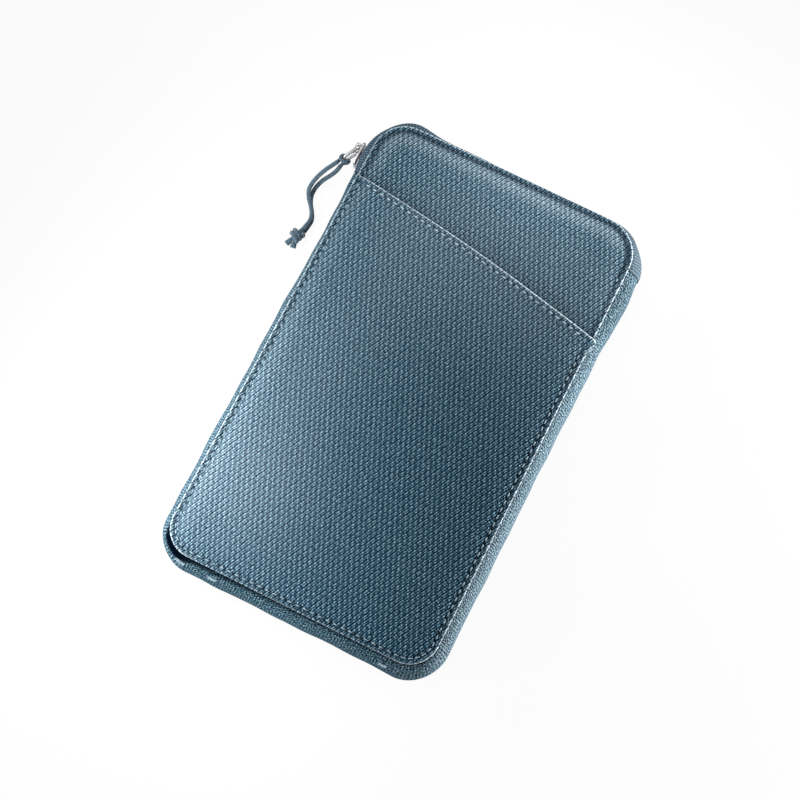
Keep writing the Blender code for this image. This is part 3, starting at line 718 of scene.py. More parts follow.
def frontSwell(x, y):
    # broad soft swells and hollows of the padding, in millimetres before the last step
    drift = front["drift"] * noise.noise(Vector((x, y, front["driftSeed"])) / front["driftSize"])
    return mm * (drift + softSpots(x, y, front["swells"]))


def stitchBeat(travel):
    return math.cos(2 * math.pi * travel / front["stitchPitch"])


def lipRoll(inset, lip):
    return -lip + math.sqrt(max(lip * lip - max(lip - inset, 0.0) ** 2, 0.0))


def seamShape(inset, travel):
    # height near the stitched edge: rolled lip, stitch valley with pits, small puckers inside it
    beat, sewn = stitchBeat(travel), alongEdge(front["sewn"], travel)
    depth = front["stitchDip"] + front["pitDepth"] * max(beat, 0.0) ** 4
    valley = sewn * depth * bell(inset, front["stitchInset"], front["dipWidth"])
    fade = math.exp(-max(inset - front["stitchInset"], 0.0) / front["puckerReach"])
    fade *= smoothStep(front["puckerFrom"], front["puckerFull"], inset)
    return lipRoll(inset, front["lipRadius"]) - valley - front["pucker"] * beat * fade * sewn


def frontHeight(x, y, base):
    inset, travel = edgeOf(x, y)
    puff = front["puff"] * (1 - math.exp(-max(inset - front["stitchInset"], 0.0) / front["puffReach"]))
    swell = frontSwell(x, y) * smoothStep(front["swellFrom"], front["swellFull"], inset)
    return base + puff + pillowRise(x, y) + seamShape(inset, travel) + swell


def panelHeight(x, y):
    # the panel sinks towards the slip pocket's edge and lies lower under it
    sink = hem["dip"] * bell(max(y - hemHeight(x), 0.0), 0.0, hem["dipReach"])
    sink *= smoothStep(hem["dipFrom"], hem["dipFull"], edgeOf(x, y)[0])
    return frontHeight(x, y, front["edgeHeight"]) - sink


def hemLap(x, below):
    # how far the hem's right end laps over the edge, as a share
    edge = outline["halfWidth"]
    return bell(below, hem["stitchInset"], hem["lapReach"]) * smoothStep(edge - hem["lapWidth"], edge, x)


def markSeams(mesh, hemmed):
    # painted highlight on the folded edges, the hem, the puff's crest and soft patches;
    # painted shade in the needle holes, the stitch valleys and on the panel just above the hem
    worn, sunk = mesh.verts.layers.float.new("worn"), mesh.verts.layers.float.new("sunk")
    for vertex in mesh.verts:
        x, y = vertex.co.x, vertex.co.y
        inset, travel = edgeOf(x, y)
        below = hemHeight(x) - y
        pale = front["wearGain"] * bell(inset, 0.0, front["wearWidth"]) * alongEdge(front["wear"], travel)
        crest = alongEdge(front["crest"], travel) * bell(inset, front["crestInset"], front["crestWidth"])
        pale = max(pale, softSpots(x, y, front["bloom"]) + crest)
        hole = max(stitchBeat(travel), 0.0) ** 3 * alongEdge(front["sewn"], travel)
        hole *= bell(inset, front["stitchInset"], front["holeWidth"])
        valley = bell(inset, front["stitchInset"], front["dipWidth"]) * alongEdge(front["shade"], travel)
        hole = max(hole, valley)
        if hemmed:
            crisp = hem["wearLeft"] + hem["wearRise"] * smoothStep(hem["wearFrom"], hem["wearFull"], x)
            crisp *= hem["wear"] * bell(below, hem["wearInset"], front["wearWidth"])
            lapped = hem["lapWear"] * smoothStep(0.0, hem["lapWearWidth"], x - outline["halfWidth"])
            pale = max(pale * (1 - hemLap(x, below)), crisp, lapped)
            needle = max(stitchBeat(x), 0.0) ** 2
            hole = max(hole, bell(below, hem["stitchInset"], hem["holeWidth"]) * needle)
        else:
            hole = max(hole, hem["shade"] * bell(below, 0.0, hem["shadeWidth"]))
        vertex[worn] = pale
        vertex[sunk] = hole


def makeFrontPanel():
    wide, top, bottom = outline["halfWidth"], outline["top"], outline["bottom"]
    across = [step - wide for step in edgeSteps(2 * wide)]
    along = [step - bottom for step in edgeSteps(top + bottom)]
    # under the slip pocket few rows are needed
    along = [y for index, y in enumerate(along) if y > front["seenFrom"] or index % front["hiddenStep"] == 0]

    def place(x, y):
        x, y = roundedPlace(x, y)
        inset, travel = edgeOf(x, y)
        # under the slip pocket the panel's edge stays back from the pocket's
        covered = smoothStep(0.0, hem["cover"], hemHeight(x) - y)
        shift = edgeAt(travel)[1] * hem["setBack"] * covered * bell(inset, 0.0, hem["setBackReach"])
        return Vector((x - shift.x, y - shift.y, panelHeight(x, y) - hem["coverDrop"] * covered))

    mesh = gridMesh(across, along, place)
    mapFlat(mesh)
    markSeams(mesh, False)
    piece = finishMesh("frontPanelCloth", mesh, twillFlat)
    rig.replaces(piece, "front_panel", "front_panel_top")
    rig.slot(piece, "twill")
    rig.sheet(piece, flat=(2 * wide, top + bottom), held="stretched", rests_on="frontFoamPad")
    return piece


def hemShape(below, x):
    # height near the slip pocket's slanted edge: rolled edge, doubled hem, row of stitches
    dip = hem["seamDip"] + hem["pitDepth"] * max(stitchBeat(x), 0.0) ** 4
    dip *= bell(below, hem["stitchInset"], hem["seamWidth"])
    doubled = hem["lift"] * (1 - smoothStep(hem["liftFrom"], hem["liftEnd"], below))
    return lipRoll(below, hem["lip"]) + doubled - dip


def makePocket():
    wide, bottom = outline["halfWidth"], -outline["bottom"]
    across = [step - wide for step in edgeSteps(2 * wide)]
    along = edgeSteps(hem["left"] - bottom)
    whole, margin = along[-1], hem["rowMargin"]

    def place(x, step):
        # rows keep their distance from the nearer of the bottom edge and the hem
        top = hemHeight(x) - bottom
        share = min(max((step - margin) / (whole - 2 * margin), 0.0), 1.0)
        y = bottom + step + (top - whole) * share
        below = top + bottom - y
        x, y = roundedPlace(x, y)
        height = frontHeight(x, y, front["pocketHeight"]) + hemShape(below, x)
        lap = hemLap(x, below)
        return Vector((x + hem["lap"] * lap, y, height - hem["lapDrop"] * lap ** 2))

    mesh = gridMesh(across, along, place)
    mapFlat(mesh)
    markSeams(mesh, True)
    piece = finishMesh("slipPocketCloth", mesh, twillFlat)
    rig.replaces(piece, "front_pocket")
    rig.slot(piece, "twill")
    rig.ride(piece, "pouch")
    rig.sheet(piece, flat=(2 * wide, hem["left"] - bottom), held="stretched", rests_on="frontPanelCloth",
             area=2 * wide * ((hem["left"] + hem["right"]) / 2 - bottom))


frontPanelCloth = makeFrontPanel()
makePocket()
print("front panel and slip pocket made")


# Wall round the left, bottom and right sides, and the zip tapes in the top. Bulge is how far they stand out
# in millimetres, fade how much painted light lies on them, shade how much painted shade, crease how dark the
# painted shade in the fold under the front's edge is, and creaseStart where up the wall that fold begins
wall = {
    **inMm(bottom=1.2, top=15.6, seam=2.2, tuck=0.9, width=22, step=0.3, ripple=0.5, rippleLong=11,
           rippleTall=9, dotPitch=1.2),
    "rippleSeed": 1.7, "girth": 1.25, "rows": 16, "topRows": 12, "topFrom": 0.8, "lean": 0.9, "blunt": 0.5,
    "tuckFrom": 0.7, "tuckFull": 0.97, "creaseSpan": 0.12, "dotPlace": 0.92, "dotHeight": 0.035,
    "bulge": edgeStops(
        (0, 0.0, 3.3), (0, 0.5, 3.2), (0, 0.8, 2.4), (0, 0.97, 3.0), (1, 0.5, 2.6), (1, 0.9, 2.3),
        (2, 0.12, 2.3), (2, 0.3, 2.3), (2, 0.5, 1.4), (2, 0.95, 1.4), (3, 0.5, 3.0), (3, 1.0, 5.0),
        (4, 0.08, 5.3), (4, 0.22, 4.0), (4, 0.5, 3.8), (4, 1.0, 4.2), (6, 0.0, 4.2), (6, 1.0, 4.0),
        (7, 1.0, 3.3)),
    "fade": edgeStops(
        (0, 0.0, 0.05), (0, 0.85, 0.05), (0, 0.9, 0.0), (3, 0.4, 0.0), (3, 0.8, 0.10), (4, 0.1, 0.12),
        (4, 0.3, 0.16), (4, 1.0, 0.21), (5, 0.5, 0.06), (6, 0.1, 0.0), (6, 0.9, 0.0), (7, 1.0, 0.05)),
    "shade": edgeStops(
        (0, 0.0, 0.2), (0, 0.9, 0.2), (1, 0.0, 0.0), (3, 0.9, 0.0), (4, 0.05, 0.28), (4, 0.3, 0.0),
        (5, 0.3, 0.0), (6, 0.0, 0.3), (6, 0.5, 0.25), (6, 0.9, 0.35), (7, 0.3, 0.2), (7, 1.0, 0.2)),
    "crease": edgeStops(
        (0, 0.0, 0.8), (0, 0.1, 0.5), (0, 1.0, 0.5), (3, 1.0, 0.3), (4, 0.9, 0.3), (5, 0.5, 0.9),
        (6, 0.9, 0.9), (7, 0.2, 1.0), (7, 0.6, 1.0), (7, 1.0, 0.8)),
    "creaseStart": edgeStops(
        (0, 0.0, 0.88), (0, 0.1, 0.94), (5, 0.5, 0.93), (6, 0.5, 0.88), (6, 0.95, 0.84), (7, 0.3, 0.74),
        (7, 0.55, 0.74), (7, 1.0, 0.88))}
# each billow is its leg and share of the leg, its reach and size, and its place and width up the wall
zipper = {**inMm(gap=0.06, slit=1.4, height=8.4, coilPitch=1.3, tapeWidth=11, tuck=0.2),
          "billows": ((0, 0.972, 8 * mm, 1.3 * mm, 0.85, 0.13), (1, 0.95, 8 * mm, 1.6 * mm, 0.9, 0.07)),
          "start": legs[0][0] + fold["left"] - legs[0][2].y, "end": legs[4][0] + legs[4][2].y - fold["right"]}


def tapeBillow(share, travel):
    # the front tape swells out beside the parked slider and at the corner after it
    swell = 0.0
    for leg, place, reach, size, up, width in zipper["billows"]:
        swell += size * bell(travel, legs[leg][0] + legs[leg][1] * place, reach) * bell(share, up, width)
    return swell


def wallOffset(share, travel, tuck):
    # leaves each seam level, bulges between them, tucks in under the front's edge
    bulge = 0.0
    if 0 < share < 1:
        arch = math.sin(math.pi * share ** wall["lean"]) ** wall["blunt"]
        bulge = alongEdge(wall["bulge"], travel) * mm * arch
    return bulge - tuck * smoothStep(wall["tuckFrom"], wall["tuckFull"], share)


def wallSunk(share, travel):
    # painted shade in the fold under the front's edge and in the seam's needle holes beside it,
    # and broad painted shade over parts of the wall
    start = alongEdge(wall["creaseStart"], travel)
    crease = alongEdge(wall["crease"], travel)
    crease *= smoothStep(start, min(start + wall["creaseSpan"], 1.0), share)
    dots = max(math.cos(2 * math.pi * travel / wall["dotPitch"]), 0.0)
    dots *= bell(share, wall["dotPlace"], wall["dotHeight"])
    return max(crease, alongEdge(wall["shade"], travel), dots)


def makeStrip(name, start, end, low, high, material, ripple, tuck, billows=False):
    tall = wall["top"] - wall["bottom"]
    shares = evenSteps(0.0, wall["topFrom"], wall["topFrom"] / wall["rows"])
    shares += evenSteps(wall["topFrom"], 1.0, (1 - wall["topFrom"]) / wall["topRows"])[1:]
    shares = [low, *(share for share in shares if low < share < high), high]
    if low == 0:
        shares.insert(0, -wall["seam"] / tall)
    if high == 1:
        shares.append(1 + wall["seam"] / tall)
    rows = {share * tall * wall["girth"]: share for share in shares}

    def place(travel, row):
        share = min(max(rows[row], 0.0), 1.0)
        point, normal = edgeAt(travel)
        height = wall["bottom"] + tall * share
        offset = wallOffset(share, travel, tuck) if share == rows[row] else -wall["seam"]
        offset += tapeBillow(share, travel) if billows else 0.0
        wave = Vector((travel / wall["rippleLong"], height / wall["rippleTall"], wall["rippleSeed"]))
        offset += ripple * math.sin(math.pi * share) * noise.noise(wave)
        return Vector((*(point + normal * offset), height))

    mesh = gridMesh(evenSteps(start, end, wall["step"]), list(rows), place)
    worn, sunk = mesh.verts.layers.float.new("worn"), mesh.verts.layers.float.new("sunk")
    for vertex in mesh.verts:
        travel = edgeOf(vertex.co.x, vertex.co.y)[1]
        # painted light from the fade stops, painted shade from the fold, the holes and the broad shade
        vertex[worn] = alongEdge(wall["fade"], travel)
        vertex[sunk] = wallSunk((vertex.co.z - wall["bottom"]) / tall, travel)
    bmesh.ops.recalc_face_normals(mesh, faces=mesh.faces)
    return finishMesh(name, mesh, material)


def makeWall():
    start, end = zipper["end"] + zipper["gap"], edgeLength + zipper["start"] - zipper["gap"]
    piece = makeStrip("wallCloth", start, end, 0, 1, twillWall, wall["ripple"], wall["tuck"])
    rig.replaces(piece, "gusset")
    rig.slot(piece, "twill")
    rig.ride(piece, "pouch")
    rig.sheet(piece, flat=(end - start, wall["width"]), held="stretched", rests_on="backPanelCloth")


def slitShare(side):
    return (zipper["height"] + side * zipper["slit"] / 2 - wall["bottom"]) / (wall["top"] - wall["bottom"])


def makeTapes():
    start, end = zipper["start"] + zipper["gap"], zipper["end"] - zipper["gap"]
    back = makeStrip("backTapeCloth", start, end, 0, slitShare(-1), tapeWeave, 0, 0)
    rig.replaces(back, "back_zip_tape")
    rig.ride(back, "pouch")
    top = makeStrip("frontTapeCloth", start, end, slitShare(1), 1, tapeWeave, 0, zipper["tuck"], billows=True)
    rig.replaces(top, "front_zip_tape")
    for piece, panel in ((back, "backPanelCloth"), (top, "frontPanelCloth")):
        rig.slot(piece, "zip_tape")
        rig.sheet(piece, flat=(end - start, zipper["tapeWidth"]), held="stretched", rests_on=panel)
    return top


makeWall()
frontTapeCloth = makeTapes()
print("wall and zip tapes made")


# Rows of stitches, each stitch a small bead of thread
stitch = {
    **inMm(size=Vector((2.3, 0.62, 0.5)), hemSize=Vector((2.0, 0.62, 0.5)), lift=0.24, hemLift=0.26,
           hemClear=1.5, panelClear=1, hemEnd=2),
    "leastSewn": 0.4, "mostShade": 0.4}
bartack = {
    **inMm(spread=2.8, lift=0.1, size=Vector((0.7, 3.0, 0.5))), "slant": 0.45, "tilt": 0.4, "threads": 6,
    "places": ((6, 0.045, 0.80), (6, 0.867, 0.80), (7, 0.1, 0.82))}


def beadRow(name, places, size, material, body):
    # places: point, direction along the row, direction out of the cloth
    mesh = bmesh.new()
    for point, along, out in places:
        side = out.cross(along).normalized()
        turn = Matrix((along, side, along.cross(side))).transposed().to_4x4()
        place = Matrix.Translation(point) @ turn @ Matrix.Diagonal((*size, 1))
        bmesh.ops.create_icosphere(mesh, subdivisions=1, radius=0.5, matrix=place)
    piece = finishMesh(name, mesh, material)
    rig.slot(piece, "twill")
    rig.ride(piece, body)
    return piece


def sewEdges():
    pitch, wide = front["stitchPitch"], outline["halfWidth"]
    rows = {"panelStitches": [], "pocketStitches": [], "flapStitches": []}
    for index in range(int(edgeLength / pitch)):
        travel = (index + 0.5) * pitch
        loose = alongEdge(front["sewn"], travel) < stitch["leastSewn"]
        if loose or alongEdge(front["shade"], travel) > stitch["mostShade"]:
            continue
        point, normal = edgeAt(travel)
        spot = point - normal * front["stitchInset"]
        foldY = fold["left"] + (fold["right"] - fold["left"]) * (spot.x + wide) / (2 * wide)
        row, base = "panelStitches", front["edgeHeight"]
        if spot.y < hemHeight(spot.x) - stitch["hemClear"]:
            row, base = "pocketStitches", front["pocketHeight"]
        elif spot.y > foldY:
            row = "flapStitches"
        elif spot.y <= hemHeight(spot.x) + stitch["panelClear"]:
            continue
        height = frontHeight(spot.x, spot.y, base) + stitch["lift"]
        rows[row].append((Vector((*spot, height)), Vector((normal.y, -normal.x, 0)), skyward))
    for name, places in rows.items():
        beadRow(name, places, stitch["size"], sewingThread, "mouth" if name == "flapStitches" else "pouch")


def sewHem():
    pitch, places = front["stitchPitch"], []
    count = int((outline["halfWidth"] - stitch["hemEnd"]) / pitch)
    for index in range(-count, count):
        x = (index + 0.5) * pitch
        y = hemHeight(x) - hem["stitchInset"]
        slope = Vector((1, (hemHeight(x + mm) - hemHeight(x)) / mm, 0)).normalized()
        height = frontHeight(x, y, front["pocketHeight"]) + hemShape(hem["stitchInset"], x)
        places.append((Vector((x, y, height + stitch["hemLift"])), slope, skyward))
    beadRow("hemStitches", places, stitch["hemSize"], paleThread, "pouch")


def sewBartacks():
    places = []
    for leg, share, up in bartack["places"]:
        middle = legs[leg][0] + legs[leg][1] * share
        for index in range(bartack["threads"]):
            travel = middle + bartack["spread"] * (index / (bartack["threads"] - 1) - 0.5)
            point, normal = edgeAt(travel)
            spot = point + normal * (wallOffset(up, travel, wall["tuck"]) + bartack["lift"])
            height = wall["bottom"] + (wall["top"] - wall["bottom"]) * up
            along = Vector((normal.y, -normal.x, bartack["slant"])).normalized()
            places.append((Vector((*spot, height)), along, Vector((*normal, bartack["tilt"])).normalized()))
    beadRow("bartackStitches", places, bartack["size"], sewingThread, "pouch")


sewEdges()
sewHem()
sewBartacks()
print("stitches sewn")


# Back panel, foam, linings and the pockets inside
inside = inMm(
    edge=1, inset=2.8, backPanel=0.9, backFoam=2.7, backLining=3.6, documentPocket=4.5, passportSleeve=5.4,
    documentTop=56.8, sleeveTop=11.8, cardSlots=13.6, slotPitch=0.9, slotTop=58, slotStep=18, slotHeight=58,
    frontLining=14.5, frontFoam=15.9, clothThickness=0.8, liningThickness=0.5, backFoamThickness=1.4,
    frontFoamThickness=1.0, wrinkle=0.08, wrinkleSize=15, weld=0.01, step=4, backStep=2, frontStep=2.5)


def flatSheet(name, nodes, inset, height, thickness, material, slot, top=None, low=None, step=inside["step"]):
    wide, high, deep = outline["halfWidth"], outline["top"], outline["bottom"]

    def place(x, y):
        x, y = roundedPlace(x, y)
        x, y = x * (wide - inset) / wide, y * (deep - inset) / deep
        y = min(y, top) if top is not None else y
        y = max(y, low) if low is not None else y
        wrinkle = inside["wrinkle"] * noise.noise(Vector((x, y, height)) / inside["wrinkleSize"])
        return Vector((x, y, height + wrinkle))

    mesh = gridMesh(evenSteps(-wide, wide, step), evenSteps(-deep, high, step), place)
    bmesh.ops.dissolve_degenerate(mesh, edges=mesh.edges, dist=inside["weld"])
    mapFlat(mesh)
    piece = finishMesh(name, mesh, material)
    solidify = piece.modifiers.new("thickness", "SOLIDIFY")
    solidify.thickness = thickness
    solidify.offset = -1
    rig.replaces(piece, *nodes)
    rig.slot(piece, slot)
    return piece


def liningSheet(name, nodes, height, restsOn, top=None, low=None, step=inside["step"]):
    inset, thick = inside["inset"], inside["liningThickness"]
    piece = flatSheet(name, nodes, inset, height, thick, liningWeave, "lining", top, low, step)
    topEdge = outline["top"] - inset if top is None else top
    lowEdge = inset - outline["bottom"] if low is None else low
    flat = (2 * (outline["halfWidth"] - inset), topEdge - lowEdge)
    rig.sheet(piece, flat=flat, held="laid", rests_on=restsOn)
    return piece


def makeBack():
    edge = inside["edge"]
    cloth = flatSheet("backPanelCloth", ["back_panel"], edge, inside["backPanel"], inside["clothThickness"],
                      twillFlat, "twill", step=inside["backStep"])
    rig.sheet(cloth, flat=(2 * (outline["halfWidth"] - edge), outline["top"] + outline["bottom"] - 2 * edge),
             held="laid")
    pad = flatSheet("backFoamPad", ["back_padding"], inside["inset"], inside["backFoam"],
                    inside["backFoamThickness"], foamCells, "foam")
    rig.padded(pad, fill=0.3)
    pieces = [cloth, pad,
              liningSheet("backLiningCloth", ["back_lining"], inside["backLining"], "backFoamPad"),
              liningSheet("documentPocketCloth", ["document_pocket"], inside["documentPocket"],
                          "backLiningCloth", top=inside["documentTop"]),
              liningSheet("passportSleeveCloth", ["passport_sleeve"], inside["passportSleeve"],
                          "documentPocketCloth", top=inside["sleeveTop"])]
    for number in range(3):
        top = inside["slotTop"] - number * inside["slotStep"]
        height = inside["cardSlots"] - number * inside["slotPitch"]
        pieces.append(liningSheet(f"cardSlotCloth{number + 1}", [f"card_slot_{number + 1}"], height,
                                  "frontLiningCloth", top=top, low=top - inside["slotHeight"]))
    for piece in pieces:
        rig.ride(piece, "pouch")


def makeFrontLayers():
    step = inside["frontStep"]
    cloth = liningSheet("frontLiningCloth", ["front_lining", "flap_lining"], inside["frontLining"],
                        "frontFoamPad", step=step)
    pad = flatSheet("frontFoamPad", ["front_padding", "flap_padding"], inside["inset"], inside["frontFoam"],
                    inside["frontFoamThickness"], foamCells, "foam", step=step)
    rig.padded(pad, fill=0.5)
    return cloth, pad


makeBack()
frontLiningCloth, frontFoamPad = makeFrontLayers()
print("back, linings and inner pockets made")


# Zip coils, slider and pull loop
coil = inMm(endGap=3, depth=1.4, offset=1.5, size=Vector((2.4, 0.85, 1.2)))
slider = {
    **inMm(centre=Vector((-56, 79.5, 8.4)), length=10, width=8, plate=1.0, outer=4.0, inner=-1.3, corner=1.8,
           soft=0.3, sink=0.2, postLength=3, postHeight=0.8, postSink=0.8, postSoft=0.1, bailLength=4.6,
           bailForward=2.2, bailWidth=1.8, bailWall=0.9, bailRise=2.8, bailSoft=0.25, bailTopSoft=0.35),
    "cornerSteps": 5, "softSteps": 3}


def makeCoils():
    first, last = zipper["start"] + coil["endGap"], zipper["end"] - coil["endGap"]
    halves = (("backCoil", -1, "back_zip_coil", "pouch"), ("frontCoil", 1, "front_zip_coil", "mouth"))
    for name, side, node, body in halves:
        places = []
        height = zipper["height"] + side * coil["offset"]
        for travel in evenSteps(first, last, zipper["coilPitch"]):
            point, normal = edgeAt(travel)
            out = min(coil["depth"], alongEdge(wall["bulge"], travel) * mm - coil["depth"])
            places.append((Vector((*(point + normal * out), height)), skyward, Vector((*normal, 0))))
        piece = beadRow(name, places, coil["size"], darkNylon, body)
        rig.replaces(piece, node)
        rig.slot(piece, "zip_coil")


def bevelEdges(mesh, edges, offset, steps):
    bmesh.ops.bevel(mesh, geom=edges, offset=offset, segments=steps, profile=0.5, affect="EDGES", material=-1)


def boxInto(mesh, low, high, soft, corner=0.0):
    # a box with softened edges; corner rounds its edges along X first
    low, high = Vector(low), Vector(high)
    made = bmesh.ops.create_cube(mesh, size=1)["verts"]
    bmesh.ops.scale(mesh, verts=made, vec=high - low)
    bmesh.ops.translate(mesh, verts=made, vec=(low + high) / 2)
    edges = list({edge for vertex in made for edge in vertex.link_edges})
    if corner:
        half = (high.x - low.x) / 2
        through = [edge for edge in edges if abs(edge.verts[0].co.x - edge.verts[1].co.x) > half]
        bevelEdges(mesh, through, corner, slider["cornerSteps"])
        near = [face for face in mesh.faces if low.x - soft < face.calc_center_median().x < high.x + soft]
        edges = list({edge for face in near if abs(face.normal.x) > 0.5 for edge in face.edges})
    bevelEdges(mesh, edges, soft, slider["softSteps"])


def makeSlider():
    mesh = bmesh.new()
    x, y, z = slider["centre"]
    half, wide, sink = slider["length"] / 2, slider["width"] / 2, slider["sink"]
    for offset in (slider["outer"], slider["inner"]):
        boxInto(mesh, (x - offset - slider["plate"], y - half, z - wide), (x - offset, y + half, z + wide),
                slider["soft"], slider["corner"])
    post, rise = slider["postLength"] / 2, slider["postHeight"] / 2
    boxInto(mesh, (x - slider["outer"] - sink, y - post, z - rise),
            (x - slider["inner"] - slider["postSink"], y + post, z + rise), slider["postSoft"])
    top, middle = x - slider["outer"] - slider["plate"], y + slider["bailForward"]
    reach, thick, width = slider["bailLength"] / 2, slider["bailWall"], slider["bailWidth"] / 2
    outer = top - slider["bailRise"]
    for side in (-1, 1):
        ends = sorted((middle + side * reach, middle + side * (reach - thick)))
        boxInto(mesh, (outer, ends[0], z - width), (top + sink, ends[1], z + width), slider["bailSoft"])
    boxInto(mesh, (outer, middle - reach, z - width), (outer + thick, middle + reach, z + width),
            slider["bailTopSoft"])
    piece = finishMesh("zipSliderBody", mesh, satinMetal)
    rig.replaces(piece, "zip_slider")
    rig.slot(piece, "nickel")
    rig.ride(piece, "slider")


def routeLine(places, step):
    # points about a step apart on a smooth curve through the places
    points = [Vector(place) for place in places]
    points = [2 * points[0] - points[1], *points, 2 * points[-1] - points[-2]]
    line = []
    for before, start, end, after in zip(points, points[1:], points[2:], points[3:]):
        pieces = max(1, round((end - start).length / step))
        bend = 2 * before - 5 * start + 4 * end - after
        twist = 3 * start - before - 3 * end + after
        for piece in range(pieces):
            share = piece / pieces
            line.append(start + ((end - before) * share + bend * share ** 2 + twist * share ** 3) / 2)
    return line + [points[-2]]


tube = {"sides": 12, "wireSides": 14, "flareFrom": 0.6}


def tubeMesh(line, radius, sides=tube["sides"], closed=False, flare=0.0):
    # a tube round a line, with its UV map along and round it; closed joins its ends, flare widens its far end
    points = line + line[:2] if closed else line
    rings, side = [], None
    for index, point in enumerate(points):
        after = points[min(index + 1, len(points) - 1)]
        along = (after - points[max(index - 1, 0)]).normalized()
        side = side or along.orthogonal().normalized()
        side = (side - along * side.dot(along)).normalized()
        rings.append((point, side, along.cross(side)))
    if closed:
        rings = rings[1:]
        rings[-1] = rings[0]
    reached, steps = 0.0, {}
    for index, (point, _, _) in enumerate(rings):
        reached += (point - rings[index - 1][0]).length if index else 0.0
        steps[reached] = index

    def place(travel, girth):
        point, first, second = rings[steps[travel]]
        angle = girth / radius
        wide = radius * (1 + flare * smoothStep(tube["flareFrom"], 1.0, travel / reached))
        return point + (first * math.cos(angle) + second * math.sin(angle)) * wide

    girths = evenSteps(0.0, 2 * math.pi * radius, 2 * math.pi * radius / sides)
    mesh = gridMesh(list(steps), girths, place, closed=True)
    if not closed:
        bmesh.ops.holes_fill(mesh, edges=[edge for edge in mesh.edges if edge.is_boundary])
    bmesh.ops.recalc_face_normals(mesh, faces=mesh.faces)
    return mesh


pull = {**inMm(pivot=Vector((-61.95, 81.7, 8.4)), length=7.0, width=5.6, bend=1.0, wire=1.3),
        "heading": math.radians(243), "bendSteps": 5}
pull["along"] = Vector((*heading(pull["heading"]), 0))
pull["side"] = Vector((-pull["along"].y, pull["along"].x, 0))
pull["bar"] = pull["pivot"] + pull["along"] * pull["length"]


def makePullLoop():
    half, bend = pull["width"] / 2, pull["bend"]
    ends = ((pull["length"] - bend, half - bend, math.pi / 2), (pull["length"] - bend, bend - half, 0.0),
            (bend, bend - half, -math.pi / 2), (bend, half - bend, math.pi))
    places = []
    for along, rise, turn in ends:
        for step in range(pull["bendSteps"]):
            angle = turn - math.pi / 2 * step / (pull["bendSteps"] - 1)
            reach = pull["along"] * (along + bend * math.cos(angle))
            places.append(pull["pivot"] + reach + Vector((0, 0, rise + bend * math.sin(angle))))
    mesh = tubeMesh(places, pull["wire"] / 2, tube["wireSides"], closed=True)
    piece = finishMesh("pullLoopWire", mesh, satinMetal)
    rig.replaces(piece, "pull_loop")
    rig.slot(piece, "nickel")
    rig.ride(piece, "puller")


makeCoils()
makeSlider()
makePullLoop()
for node in ("back_zip_stop", "front_zip_stop", "zip_end_stop"):
    frame["nodes"][node].data.materials.clear()
    frame["nodes"][node].data.materials.append(satinMetal)
print("zip hardware made")


# Pull cord: a hitch on the loop's far bar, two strands and a knot with two tails; routes in metres
upperRoute = ((-0.0668, 0.0731, 0.0094), (-0.0683, 0.0706, 0.0090), (-0.0701, 0.0676, 0.0082),
              (-0.0720, 0.0637, 0.0062), (-0.0728, 0.0596, 0.0042), (-0.0716, 0.0566, 0.0033),
              (-0.0694, 0.0539, 0.0031), (-0.0674, 0.0510, 0.0031), (-0.0666, 0.0478, 0.0032),
              (-0.0673, 0.0434, 0.0036))
lowerRoute = ((-0.0654, 0.0725, 0.0076), (-0.0659, 0.0705, 0.0069), (-0.0673, 0.0681, 0.0055),
              (-0.0697, 0.0650, 0.0036), (-0.0712, 0.0615, 0.0017), (-0.0712, 0.0581, 0.0010),
              (-0.0699, 0.0549, 0.0010), (-0.0677, 0.0517, 0.0010), (-0.0664, 0.0484, 0.0010),
              (-0.0668, 0.0434, 0.0013))
cord = {
    **inMm(thickness=1.8, hitchThickness=1.5, bight=1.5, bightHeight=1.5, bightDrop=1.7, step=0.6,
           strandStep=1.0),
    "bightReach": math.radians(130), "bightStep": math.radians(26),
    "hitchLeg": ((1.3, 1.15, -0.3), (-0.2, 1.7, -0.9), (-1.15, 1.5, -0.8))}
knot = {
    **inMm(centre=Vector((-68.6, 40.2, 3.0)), coil=1.95, pitch=1.7, tailReach=5.0, tailHeight=1.2),
    "axis": Vector((0.36, 0.93, 0.0)).normalized(), "turns": 2.3, "turnSteps": 14,
    "tailHeadings": (math.radians(243), math.radians(279)), "flare": 0.35}


def cordTube(name, line, node=None, thickness=cord["thickness"], flare=0.0):
    piece = finishMesh(name, tubeMesh(line, thickness / 2, flare=flare), cordBraid)
    if node:
        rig.replaces(piece, node)
    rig.slot(piece, "cord")
    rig.ride(piece, "puller")
    return piece


def makeHitch():
    # the cord's bight lies over the bar, and its two legs pass back under it to the strands
    def barPlace(along, side, rise):
        return pull["bar"] + pull["along"] * along + pull["side"] * side + Vector((0, 0, rise))

    legsBack = [[barPlace(along * mm, sign * side * mm, rise * mm) for along, side, rise in cord["hitchLeg"]]
                for sign in (-1, 1)]
    bight = []
    for angle in evenSteps(-cord["bightReach"], cord["bightReach"], cord["bightStep"]):
        drop = cord["bightDrop"] * abs(angle / cord["bightReach"]) ** 3
        turn = heading(angle) * cord["bight"]
        bight.append(barPlace(turn.x, turn.y, cord["bightHeight"] - drop))
    places = [Vector(upperRoute[0]), *legsBack[0], *bight, *reversed(legsBack[1]), Vector(lowerRoute[0])]
    return cordTube("cordHitchBight", routeLine(places, cord["step"]), "cord_hitch", cord["hitchThickness"])


